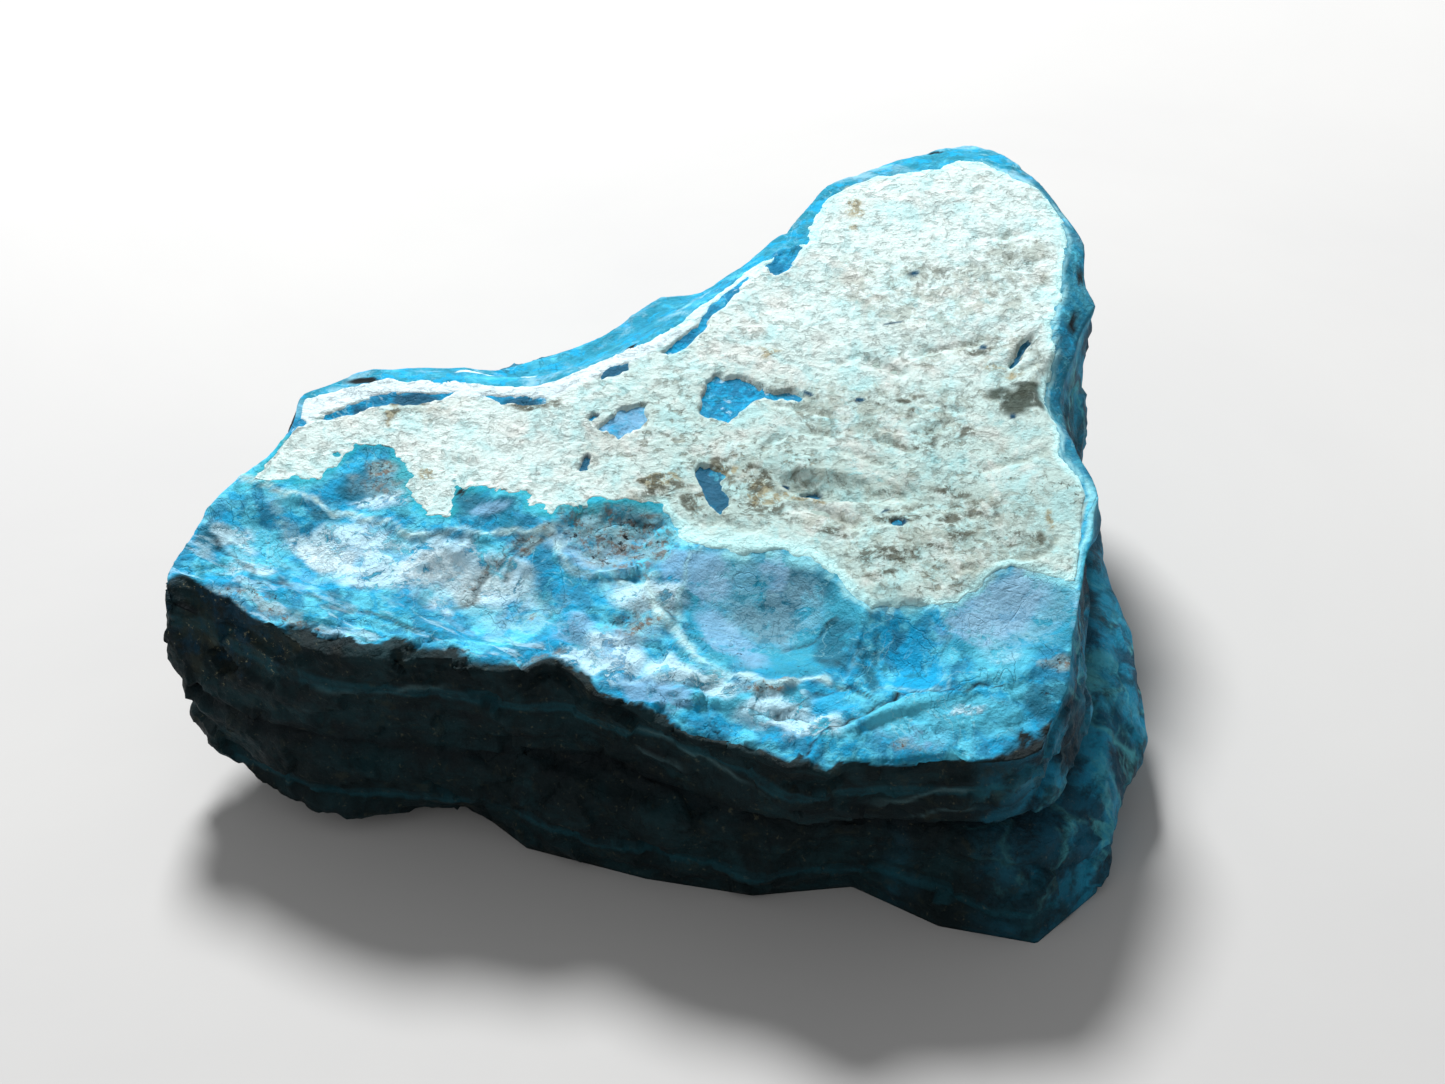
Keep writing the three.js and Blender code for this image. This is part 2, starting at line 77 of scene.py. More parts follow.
def ease(share: Array) -> Array:
    """An even S from 0 to 1.

    Args:
        share: any values; those below 0 and above 1 are held there.

    Returns:
        The eased values.
    """
    t = np.clip(share, 0.0, 1.0)
    return t * t * (3.0 - 2.0 * t)


def bell(distance: Array, width: float) -> Array:
    """A bell curve.

    Args:
        distance: distance from the middle.
        width: distance over which it falls to about a third.

    Returns:
        1 in the middle, falling smoothly to 0.
    """
    return np.exp(-((distance / width) ** 2))


def corner_value(x: Array, y: Array, z: Array) -> Array:
    """A repeatable value for a corner of the unit lattice.

    Args:
        x: corner's x.
        y: corner's y.
        z: corner's z.

    Returns:
        Values from 0 to 1 without any pattern.
    """
    mixed = np.sin(x * MIX_X + y * MIX_Y + z * MIX_Z) * MIX_SPREAD
    return mixed - np.floor(mixed)


def noise(x: Array, y: Array, z: Array | float) -> Array:
    """Smooth noise: corner values joined by a quintic fade along each axis.

    Args:
        x: x in features.
        y: y in features.
        z: z in features.

    Returns:
        Values from -1 to 1, with features about one unit across.
    """
    spot = np.broadcast_arrays(np.asarray(x, float), np.asarray(y, float), np.asarray(z, float))
    corner = [np.floor(axis) for axis in spot]
    share = [axis - low for axis, low in zip(spot, corner)]
    fade = [f * f * f * (f * (6.0 * f - 15.0) + 10.0) for f in share]
    total = np.zeros_like(spot[0])
    for step in itertools.product((0, 1), repeat=3):
        weight = math.prod(f if s else 1.0 - f for f, s in zip(fade, step))
        total += weight * corner_value(*(low + s for low, s in zip(corner, step)))
    return 2.0 * total - 1.0


def layered(x: Array, y: Array, z: Array | float, octaves: int = 3, gain: float = 0.5) -> Array:
    """Noise with finer and weaker noise on top of it.

    Args:
        x: x in features of the coarsest layer.
        y: y in those features.
        z: z in those features.
        octaves: how many layers.
        gain: how strong each layer is next to the coarser one.

    Returns:
        Values from about -1 to 1.
    """
    total, strength, most = 0.0, 1.0, 0.0
    for layer in range(octaves):
        shift = LAYER_SHIFT * layer
        scale = LAYER_SCALE**layer
        total = total + strength * noise(x * scale + shift, y * scale - shift, z * scale + 0.5 * shift)
        most += strength
        strength *= gain
    return total / most


def facets(points: Array, seed: float) -> Array:
    """Broken flats: each point takes the leaning plane of the nearest of many scattered sites.

    Args:
        points: (n, 3) places, in units of one flat.
        seed: picks another scatter.

    Returns:
        Heights from about -1 to 1, with sharp borders between the flats.
    """
    low = np.floor(points)
    nearest = np.full(len(points), np.inf)
    height = np.zeros(len(points))
    for step in itertools.product((-1, 0, 1), repeat=3):
        corner = low + step
        jitter = np.stack([
            corner_value(corner[:, 0] + seed, corner[:, 1] - 3.0 * axis, corner[:, 2] + 5.0 * axis)
            for axis in range(3)
        ], axis=1)
        away = points - corner - jitter
        distance = np.einsum("ij,ij->i", away, away)
        lean = 2.0 * jitter[:, [1, 2, 0]] - 1.0
        plane = np.einsum("ij,ij->i", away, lean) + 0.5 * lean[:, 0]
        nearer = distance < nearest
        nearest = np.where(nearer, distance, nearest)
        height = np.where(nearer, plane, height)
    return height


# Lines, outlines and places seen from above ------------------


@dataclass(frozen=True)
class Line:
    """An open line of straight parts, seen from above."""

    points: tuple[Place, ...]

    def along(self, share: Array) -> Array:
        """Points part of the way along the line, by length.

        Args:
            share: how far along, from 0 to 1.

        Returns:
            (n, 2) places.
        """
        corners = np.array(self.points)
        lengths = np.hypot(*np.diff(corners, axis=0).T)
        marks = np.concatenate([[0.0], np.cumsum(lengths)]) / lengths.sum()
        return np.stack([np.interp(share, marks, corners[:, axis]) for axis in (0, 1)], axis=-1)

    def distance(self, x: Array, y: Array) -> Array:
        """Distance from places to the line.

        Args:
            x: the places' x.
            y: the places' y.

        Returns:
            Distances in millimetres.
        """
        return nearest_edge(self.points[:-1], self.points[1:], x, y)

    def stroke(self, x: Array, y: Array, width: float) -> Array:
        """1 on the line, fading to 0 beside it.

        Args:
            x: the places' x.
            y: the places' y.
            width: distance over which it falls to about a third.

        Returns:
            Values from 0 to 1.
        """
        return bell(self.distance(x, y), width)


@dataclass(frozen=True)
class Outline:
    """A closed outline, seen from above."""

    points: tuple[Place, ...]

    def depth(self, x: Array, y: Array) -> Array:
        """How far inside the outline places lie.

        Args:
            x: the places' x.
            y: the places' y.

        Returns:
            Distance to the outline, above 0 inside it and below 0 outside.
        """
        starts = self.points
        ends = self.points[1:] + self.points[:1]
        distance = nearest_edge(starts, ends, x, y)
        inside = np.zeros(np.shape(x), bool)
        for (ax, ay), (bx, by) in zip(starts, ends):
            if ay == by:
                continue
            crosses = (ay > y) != (by > y)
            inside ^= crosses & (x < ax + (y - ay) * (bx - ax) / (by - ay))
        return np.where(inside, distance, -distance)

    def mask(self, x: Array, y: Array, softness: float) -> Array:
        """1 well inside the outline and 0 well outside.

        Args:
            x: the places' x.
            y: the places' y.
            softness: width of the change, in millimetres.

        Returns:
            Values from 0 to 1.
        """
        return ease(0.5 + self.depth(x, y) / softness)


@dataclass(frozen=True)
class Ellipse:
    """An ellipse seen from above: its middle, half axes, turn in degrees and, for a hollow, its depth."""

    x: float
    y: float
    a: float
    b: float
    turn: float = 0.0
    depth: float = 0.0

    def share(self, x: Array, y: Array) -> Array:
        """How deep places lie in the ellipse.

        Args:
            x: the places' x.
            y: the places' y.

        Returns:
            1 in the middle, 0 on the rim and beyond it.
        """
        c, s = math.cos(math.radians(self.turn)), math.sin(math.radians(self.turn))
        along = ((x - self.x) * c + (y - self.y) * s) / self.a
        across = ((y - self.y) * c - (x - self.x) * s) / self.b
        return np.maximum(0.0, 1.0 - along * along - across * across)

    def mask(self, x: Array, y: Array) -> Array:
        """1 over the inner half of the ellipse, fading to 0 on its rim.

        Args:
            x: the places' x.
            y: the places' y.

        Returns:
            Values from 0 to 1.
        """
        return ease(1.6 * self.share(x, y))


@dataclass(frozen=True)
class Plate:
    """A flat broken plate: its outline, and how far it lies above its surroundings."""

    height: float
    outline: Outline


@dataclass(frozen=True)
class Chip:
    """A flat chip off the stone: its middle, the way it faces in degrees, and its reach."""

    at: Spot3
    round: float
    above: float
    radius: float

    @property
    def normal(self) -> Array:
        """The unit vector that the chip faces along."""
        turn, rise = math.radians(self.round), math.radians(self.above)
        level = math.cos(rise)
        return np.array([level * math.cos(turn), level * math.sin(turn), math.sin(rise)])


def nearest_edge(starts: tuple[Place, ...], ends: tuple[Place, ...], x: Array, y: Array) -> Array:
    """Distance from places to the nearest of some straight edges.

    Args:
        starts: the edges' first points.
        ends: the edges' second points.
        x: the places' x.
        y: the places' y.

    Returns:
        Distances in millimetres.
    """
    nearest = np.full(np.shape(x), np.inf)
    for (ax, ay), (bx, by) in zip(starts, ends):
        length = (bx - ax) ** 2 + (by - ay) ** 2
        share = np.clip(((x - ax) * (bx - ax) + (y - ay) * (by - ay)) / length, 0.0, 1.0)
        nearest = np.minimum(nearest, np.hypot(x - ax - share * (bx - ax), y - ay - share * (by - ay)))
    return nearest


def turned(x: Array, y: Array, degrees: float) -> Places:
    """Places seen along and across a direction.

    Args:
        x: the places' x.
        y: the places' y.
        degrees: the direction, round from +x.

    Returns:
        Distances along it and across it.
    """
    c, s = math.cos(math.radians(degrees)), math.sin(math.radians(degrees))
    return x * c + y * s, y * c - x * s


def any_of(masks: list[Array]) -> Array:
    """The strongest of several masks at each place.

    Args:
        masks: arrays of the same shape.

    Returns:
        One array.
    """
    return np.maximum.reduce(masks)


def ellipses(*rows: tuple[float, ...]) -> tuple[Ellipse, ...]:
    """Several ellipses at once.

    Args:
        *rows: the numbers of each.

    Returns:
        The ellipses.
    """
    return tuple(Ellipse(*row) for row in rows)


def lines(*rows: tuple[Place, ...]) -> tuple[Line, ...]:
    """Several lines at once.

    Args:
        *rows: the points of each.

    Returns:
        The lines.
    """
    return tuple(Line(row) for row in rows)


def spread(spots: tuple[Ellipse, ...], x: Array, y: Array) -> Array:
    """Where any of several ellipses lies.

    Args:
        spots: the ellipses.
        x: the places' x.
        y: the places' y.

    Returns:
        Values from 0 to 1.
    """
    return any_of([spot.mask(x, y) for spot in spots])


def strokes(paths: tuple[Line, ...], x: Array, y: Array, width: float) -> Array:
    """Where any of several lines runs.

    Args:
        paths: the lines.
        x: the places' x.
        y: the places' y.
        width: distance over which each fades to about a third.

    Returns:
        Values from 0 to 1.
    """
    return any_of([path.stroke(x, y, width) for path in paths])


@dataclass(frozen=True)
class Wander:
    """How noise moves places about, so that what is drawn over them gets wandering borders.

    Each bend has a reach and a size in millimetres. The seeds are the noise's third coordinate: the broad
    and the fine bend of x, then of y.
    """

    reach: float
    size: float
    fine_reach: float
    fine_size: float
    seeds: tuple[float, float, float, float]

    def moved(self, x: Array, y: Array) -> Places:
        """Moves places.

        Args:
            x: the places' x.
            y: the places' y.

        Returns:
            The moved x and y.
        """
        moved = []
        for place, broad, fine in ((x, *self.seeds[:2]), (y, *self.seeds[2:])):
            bent = place + self.reach * noise(x / self.size, y / self.size, broad)
            moved.append(bent + self.fine_reach * noise(x / self.fine_size, y / self.fine_size, fine))
        return moved[0], moved[1]


# The stone's form, shared by both pieces ---------------------


@dataclass(frozen=True)
class Heart:
    """The upright axis that the walls are seen from."""

    x: float = 1.0
    y: float = -6.0

    def direction(self, x: Array, y: Array) -> Array:
        """Direction of places from the heart.

        Args:
            x: the places' x.
            y: the places' y.

        Returns:
            Angles in radians.
        """
        return np.arctan2(y - self.y, x - self.x)

    def point(self, direction: Array, distance: Array, height: Array) -> Array:
        """Points in a direction from the heart.

        Args:
            direction: angles in radians.
            distance: distances from the axis.
            height: heights above the ground.

        Returns:
            (n, 3) points.
        """
        x = self.x + distance * np.cos(direction)
        y = self.y + distance * np.sin(direction)
        return np.stack([x, y, height * np.ones_like(x)], axis=-1)


HEART = Heart()


@dataclass(frozen=True)
class Ring:
    """An outline of the wall, with its height at each point."""

    points: tuple[Spot3, ...]

    def crossing(self, direction: Array) -> tuple[Array, Array]:
        """Where rays from the heart cross the ring's straight edges.

        Args:
            direction: angles in radians.

        Returns:
            The crossings' distances from the heart and heights.
        """
        corners = np.array(self.points)
        dx, dy = corners[:, 0] - HEART.x, corners[:, 1] - HEART.y
        angles = np.arctan2(dy, dx)
        order = np.argsort(angles)
        dx, dy, height, angles = dx[order], dy[order], corners[order, 2], angles[order]
        wrapped = np.arctan2(np.sin(direction), np.cos(direction))
        after = np.searchsorted(angles, wrapped, side="right") % len(angles)
        before = (after - 1) % len(angles)
        c, s = np.cos(direction), np.sin(direction)
        ex, ey = dx[after] - dx[before], dy[after] - dy[before]
        facing = c * ey - s * ex
        way = (s * dx[before] - c * dy[before]) / facing
        distance = (dx[before] * ey - dy[before] * ex) / facing
        return distance, height[before] + (height[after] - height[before]) * way


# The four lines from left to right that carry the upper face, and the brow at its two ends.
BROW_FRONT = Line((
    (-32.5, -13.5), (-31.2, -14.8), (-26.5, -16.2), (-20.6, -18.4), (-13.9, -19), (-10.1, -19.8),
    (-7.2, -18.9), (-3.3, -22.6), (1.4, -25.1), (6.3, -26.6), (10.6, -28.2), (16.7, -27.5), (21.1, -26.2),
    (23.6, -25.3),
))
CRUST_FRONT = Line((
    (-28.4, -5), (-23.9, -6), (-21.7, -8.2), (-14.4, -9), (-10.6, -7.1), (-2.7, -7.6), (0.2, -8),
    (2.5, -11.4), (6.4, -12), (10.9, -13.8), (13.4, -16.7), (17.2, -16.6), (21.8, -13.7), (27.2, -14.6),
))
CRUST_BACK = Line((
    (-23.3, 1.6), (-20, 3.2), (-9.8, 2.9), (-4.4, 4.6), (1.1, 8.8), (5.6, 12.9), (9.5, 16.8), (12.1, 21.6),
    (16.8, 23.2), (22.4, 25.1), (24.6, 24.4),
))
BROW_BACK = Line((
    (-22.5, 4.3), (-20.6, 5.5), (-15.6, 7.4), (-10.3, 10.6), (-4.7, 12.9), (1, 16), (5.3, 17.3),
    (8.5, 18.8), (11.5, 23.4), (17, 26.8), (22.1, 28.7), (24.6, 26.6),
))
BROW_LEFT = Line(((-32.5, -13.5), (-31.5, -10), (-29.9, -6.3), (-26.1, -1.1), (-24.2, 3.2), (-22.5, 4.3)))
BROW_RIGHT = Line((
    (23.6, -25.3), (25.3, -21.1), (25.8, -17.7), (27.5, -13.9), (28.6, -7.1), (27.8, -2.4), (27.5, 3.4),
    (29.3, 8.9), (30.2, 13.7), (29.8, 18.1), (26.7, 24.4), (24.6, 26.6),
))
CRUST_RIGHT = ((27.9, -11.3), (28.1, -6.6), (26.5, -3.5), (25.8, 1.5), (27.3, 8), (28.1, 16.9), (26.2, 22.9))

# Outlines of the wall below the brow, from the top down.
BED = Ring((
    (-31.3, -8.5, 13.5), (-32.2, -13, 13.5), (-28.4, -16, 12.3), (-21.2, -18.8, 12.8), (-14.6, -19.2, 13.2),
    (-10, -19.6, 13.4), (-6.3, -20.6, 13.2), (-0.6, -23.1, 12.3), (5.1, -25.6, 11.2), (8.9, -26.6, 11),
    (15.5, -27.1, 11.3), (21.6, -26.4, 12), (24.4, -25.2, 12), (26.6, -21.4, 12.6), (27.7, -14, 13.6),
    (28.4, -6.5, 14.6), (28.1, 1, 15.4), (29.6, 10, 16.2), (30.4, 17, 17.6), (27, 24.4, 18.6),
    (22, 28.5, 18.8), (16.6, 26.6, 18.4), (9.6, 20.6, 17.4), (1.4, 17.2, 16.2), (-8, 13.2, 15.8),
    (-17.6, 8, 16), (-24.4, 3.4, 15.6), (-28.6, -2.6, 14.8),
))
SEAM_LINE = Ring((
    (-31, -7, 10), (-32, -12.8, 9.8), (-30.2, -15.6, 9.2), (-24.6, -17.8, 8.6), (-18, -18.8, 7.7),
    (-14, -18.9, 7.3), (-9.5, -19.1, 8.1), (-3.9, -21.3, 8.5), (2.6, -23.7, 7.5), (8.9, -25.3, 7.6),
    (16, -26.1, 7.9), (21.6, -25.8, 7.5), (25.4, -24.3, 7.3), (27.8, -21, 8.4), (28.3, -14, 9.3),
    (28.8, -6, 9.9), (28.4, 2, 10.8), (29.6, 10, 11.8), (30, 17, 12.8), (26.5, 24, 13.8), (21.5, 27.5, 14),
    (15, 25.5, 13.6), (8, 20.5, 12.8), (0, 18, 12.2), (-9, 14.5, 11.8), (-18, 8.5, 11.6), (-24.5, 3, 11),
    (-28, -2, 10.5),
))
BELLY = Ring((
    (-29, -8, 6), (-31, -12.6, 5.2), (-30.2, -15.4, 4.4), (-26, -17.6, 2.4), (-20.5, -18.6, 1.8),
    (-15, -18.3, 2.8), (-11.5, -19.5, 4.5), (-5, -22.6, 4.5), (2, -24.3, 4.2), (9, -25.3, 4), (15, -25, 4),
    (21, -27.6, 3.5), (26, -27.3, 3), (29.8, -23.8, 3), (32.3, -16, 4), (32.6, -9, 4.5), (31.8, -1, 5),
    (30, 8, 5.5), (28.5, 16, 6), (24, 21, 6.5), (16, 22, 6.5), (6, 18.5, 6), (-4, 14, 6), (-14, 9, 6),
    (-20, 4, 6.5), (-24.5, -2, 6.5),
))
FOOT = Ring((
    (-14, -15, 0), (-9, -20, 0), (-1, -22.8, 0), (6, -24.3, 0), (12.5, -23.5, 0), (18, -27, 0),
    (24.2, -28.5, 0), (28.5, -24, 0), (30.3, -14, 0), (29.5, -4, 0), (26.5, 6, 0), (21, 13, 0), (12, 14, 0),
    (2, 10.5, 0), (-8, 5, 0), (-14, -1, 0), (-16.5, -8, 0),
))
# How steeply the blue stone falls away outside the crust: direction from the heart in degrees, and slope.
FALLS = (
    (-170, 0.05), (-140, 0.04), (-90, 0.03), (-45, 0.05), (-20, 0.05), (0, 0.1), (15, 0.45), (35, 0.6),
    (58, 0.18), (72, 0.15), (90, 0.3), (130, 0.3), (160, 0.1),
)

# Hollows in the upper face, flat broken plates on it, and flat chips off the walls.
SCOOPS = {
    "bowl": Ellipse(-11.3, -14, 5.6, 3.5, -15, 1.2),
    "left shoulder": Ellipse(-24, -10, 5, 2.6, -20, 0.6),
    "rusty hollow": Ellipse(-2, -9.5, 5, 2.4, 0, 0.5),
    "shell facet": Ellipse(7, -15.8, 6, 4.2, -20, 0.9),
    "deep blue hollow": Ellipse(15.5, -18.9, 3, 3.4, 0, 1.2),
    "right facet": Ellipse(22.3, -15.8, 4.6, 3, 15, 0.7),
    "back scar left": Ellipse(-7, 10.5, 8, 4.5, 15, 1.1),
    "back scar right": Ellipse(2.5, 16, 5.5, 3.8, 35, 0.9),
    "notch in the right rim": Ellipse(28.6, 2, 3.6, 4.2, 0, 1.3),
    "crust groove": Ellipse(11, -5.8, 4, 1.4, -12, 0.8),
}
PLATES = {
    "front right slab": Plate(-0.9, Outline((
        (9.4, -27.4), (11.9, -25.1), (18.9, -22.1), (21.4, -21.8), (26.5, -18.2), (28, -24), (24, -31),
        (9, -31),
    ))),
    "front flakes": Plate(-0.7, Outline((
        (-4.2, -21.2), (-1.2, -21.3), (2.6, -22.2), (6.4, -23.8), (9.2, -26.6), (9, -31), (-6, -26),
    ))),
}
CHIPS = {
    "left tip top": Chip((-26.4, -15, 15.4), -125, 25, 7),
    "left tip end": Chip((-32, -15.6, 9), -131, -4, 8),
    "left tip back": Chip((-29.7, -5, 10), 158, -5, 8),
    "back left": Chip((-20.5, 6.4, 11), 122, 6, 9),
    "back middle": Chip((-4, 14.2, 8), 112, -16, 10),
    "peak left": Chip((12, 22.6, 15), 122, -6, 9),
    "peak back": Chip((24, 25.4, 16), 58, -6, 8),
    "peak right": Chip((30.2, 15, 15), 4, 5, 8),
    "right side": Chip((27.4, -12.4, 13.5), -8, 8, 6),
    "right side low": Chip((30.2, 2, 6), 8, -14, 9),
    "right corner": Chip((25.9, -22.8, 11), -36, 3, 5),
    "front right foot": Chip((26.6, -25.4, 3), -50, 14, 5),
    "front right": Chip((16.5, -26.6, 11.5), -87, 3, 7),
    "front middle": Chip((-2.6, -21.4, 11), -108, -3, 5),
    "front left": Chip((-17, -18.5, 11), -95, -6, 6),
}

# The torn border of the crust, and the places inside it where it is missing.
CRUST_BORDER = Outline((
    (-27.4, -4.7), (-25.1, -4.5), (-22.8, -4.4), (-21.7, -3), (-20.9, -1.7), (-18.9, -2), (-17.1, -2.9),
    (-16.7, -5.4), (-15.8, -7.1), (-14.8, -8), (-13.9, -7.9), (-13.7, -5.2), (-12.4, -5.9), (-11.4, -5.6),
    (-9.1, -5.8), (-8.7, -6.9), (-7.4, -7.1), (-7, -8.2), (-6.5, -7.4), (-4.1, -6.9), (-0.1, -7.1),
    (0.8, -8.3), (1.6, -10.1), (2.9, -11), (4.8, -11.5), (7.1, -11.4), (9, -11.7), (10.9, -13), (12.3, -15),
    (13.4, -16.2), (15.6, -16.2), (17.9, -16), (19.5, -15.3), (20.8, -13.9), (22.5, -12.9), (24.7, -13.3),
    (26.5, -14.3), (27.2, -11.1), (28, -8.6), (28.2, -6.5), (27.4, -5.3), (26.8, -3.6), (26.9, -1.8),
    (26.6, -0.1), (26.1, 1.6), (26.2, 3.4), (27, 4.4), (27.3, 5.7), (26.8, 6.7), (26.7, 8.1), (27.2, 9.5),
    (27.7, 12.6), (28.1, 15), (28.4, 17.7), (28.3, 19.8), (27.8, 21.4), (26.1, 23), (24.2, 24.3),
    (23.2, 25), (22.2, 25.6), (21.2, 25.8), (19.9, 24.9), (18.1, 24.5), (16.4, 24.4), (14.9, 24.4),
    (13.8, 24.2), (12.6, 23.6), (11.6, 22.2), (11, 20.6), (10.3, 18.8), (10.2, 17.4), (9.1, 17), (7.6, 16),
    (5.6, 15.1), (4.1, 13.4), (3.1, 11.6), (1.5, 10.2), (-1, 8.1), (-3, 7.1), (-4.8, 6.1), (-6.2, 5.2),
    (-7.5, 4.3), (-8.8, 3.8), (-10.5, 3.8), (-12.1, 3.9), (-13.6, 4.4), (-15.4, 4.3), (-17.4, 4.3),
    (-19.4, 4.5), (-21.2, 3.8), (-22.9, 3.2), (-24.2, 2.3), (-25, 0.9), (-25.9, -0.9), (-26.6, -2.5),
))
WINDOWS = {
    "large": Outline(((2.5, 2.4), (3.3, 4.6), (5.5, 4.2), (7.6, 2.6), (5.9, 1.9), (4.4, 0.3), (2.5, 1.1))),
    "large's tail": Outline(((6.8, 3), (8.6, 2.9), (9.6, 2.5), (9.3, 2), (8, 2.2), (6.6, 2.3))),
    "left": Outline(((-4.2, -0.2), (-2.6, 1.6), (-1.2, 1.8), (-1.1, 0.6), (-1.8, -0.4), (-3, -1.4))),
    "left's fleck": Outline(((-5.1, 0.5), (-4.6, 1.1), (-4.3, 0.8), (-4.8, 0.3))),
    "low left fleck": Outline(((-5.6, -3.9), (-5.1, -2.6), (-4.8, -2.8), (-5.2, -4))),
    "narrow": Outline((
        (2.2, -4.3), (2.5, -3.6), (3.3, -3.5), (3.9, -4.2), (4, -5.3), (4.4, -6.3), (4.6, -7.4), (4, -8.1),
        (3.3, -7.4), (2.8, -6.3),
    )),
    "strip at the left": Outline((
        (-23.4, 0.7), (-22.9, 1.3), (-21.7, 1.9), (-20.3, 2.7), (-18.6, 3.1), (-16.1, 3.1), (-14.2, 3),
        (-14.6, 2.6), (-16.2, 2.2), (-17.6, 1.9), (-19, 1.9), (-20.6, 1.3), (-22.4, 0.7),
    )),
    "blue at the left end": Outline((
        (-26.2, -0.6), (-25.4, 0.7), (-24.4, 0.8), (-24.2, 0.3), (-25.4, -0.6),
    )),
    "strip at the middle": Outline((
        (-12.4, 2.8), (-10.2, 2.6), (-8.4, 2.7), (-7.9, 2.3), (-9.4, 1.8), (-10.6, 2.1),
    )),
    "hollow behind": Outline(((-4.3, 4.4), (-3.8, 5.6), (-2.5, 5.8), (-2.3, 5.2), (-3.4, 4.8))),
    "strip at the right": Outline((
        (-0.1, 6.6), (1.3, 8.5), (2.5, 9.5), (3.7, 11.6), (5.6, 14.2), (5.9, 13.9), (4.2, 11.1), (2.6, 8.6),
        (1.6, 7.3), (0.6, 6.6),
    )),
    "blue under the peak": Outline((
        (7, 15), (7.8, 16.4), (9.2, 17.1), (9.9, 16.9), (8.9, 15.7), (8.5, 14.6), (7.6, 14.1),
    )),
    "turquoise crack": Outline((
        (24.9, 7.6), (25.3, 7.4), (24.9, 6.2), (24.1, 4.9), (23.5, 4.7), (24.2, 5.8),
    )),
    "groove's floor": Outline(((9.2, -5.7), (10.3, -5.3), (10.6, -5.8), (9.8, -6.2))),
    "low right fleck": Outline(((15.1, -9.1), (15.6, -8.7), (16, -9.2), (15.5, -9.6))),
}
# The windows whose floors are painted dark, as painted shade in these small hollows, and the one whose floor
# is pale.
SHADED_WINDOWS = (
    "narrow", "groove's floor", "low right fleck", "low left fleck", "hollow behind", "turquoise crack",
)
PALE_WINDOW = "left"
# The middle of the crust's white rim, along its back.
RIM_BAND = Line((
    (-24.6, 0.9), (-23.8, 2), (-21.9, 2.9), (-19.5, 3.8), (-17.7, 3.8), (-16.2, 3.6), (-13.6, 3.7),
    (-10.6, 3.3), (-7.9, 3.4), (-5.9, 4.7), (-4, 5.8), (-1.7, 7.3), (1.3, 9.6), (3.6, 12.6), (5.8, 14.8),
))
# Grooves in the crust's face: their lines, half widths and depths.
GROOVES = (
    (Line(((7.9, -4.4), (9.3, -5.7), (11.1, -6.4), (13.3, -6.7), (16.0, -6.6))), 0.7, 0.4),
    (Line(((9.1, -7.6), (11.1, -8.3), (12.8, -9.6))), 0.5, 0.3),
    (Line(((15.2, -4.2), (16.2, -5.8), (17.2, -7.7))), 0.35, 0.2),
    (Line(((14.0, 5.6), (15.3, 5.2), (16.4, 4.4))), 0.45, 0.3),
    (Line(((22.4, 17.6), (24.0, 17.6), (25.5, 17.7))), 0.5, 0.3),
    (Line(((24.6, 15.1), (26.0, 13.7), (26.3, 12.6))), 0.6, 0.25),
    (Line(((25.1, 7.6), (24.7, 6.3), (24.1, 5.2), (23.3, 4.1))), 0.3, 0.35),
    (Line(((16.5, 6.7), (19.5, 7.2), (22.2, 7.4), (24.1, 8.4))), 1.2, 0.22),
    (Line(((3.2, -8.4), (4.8, -9.2), (6.6, -9.6))), 0.5, 0.25),
)


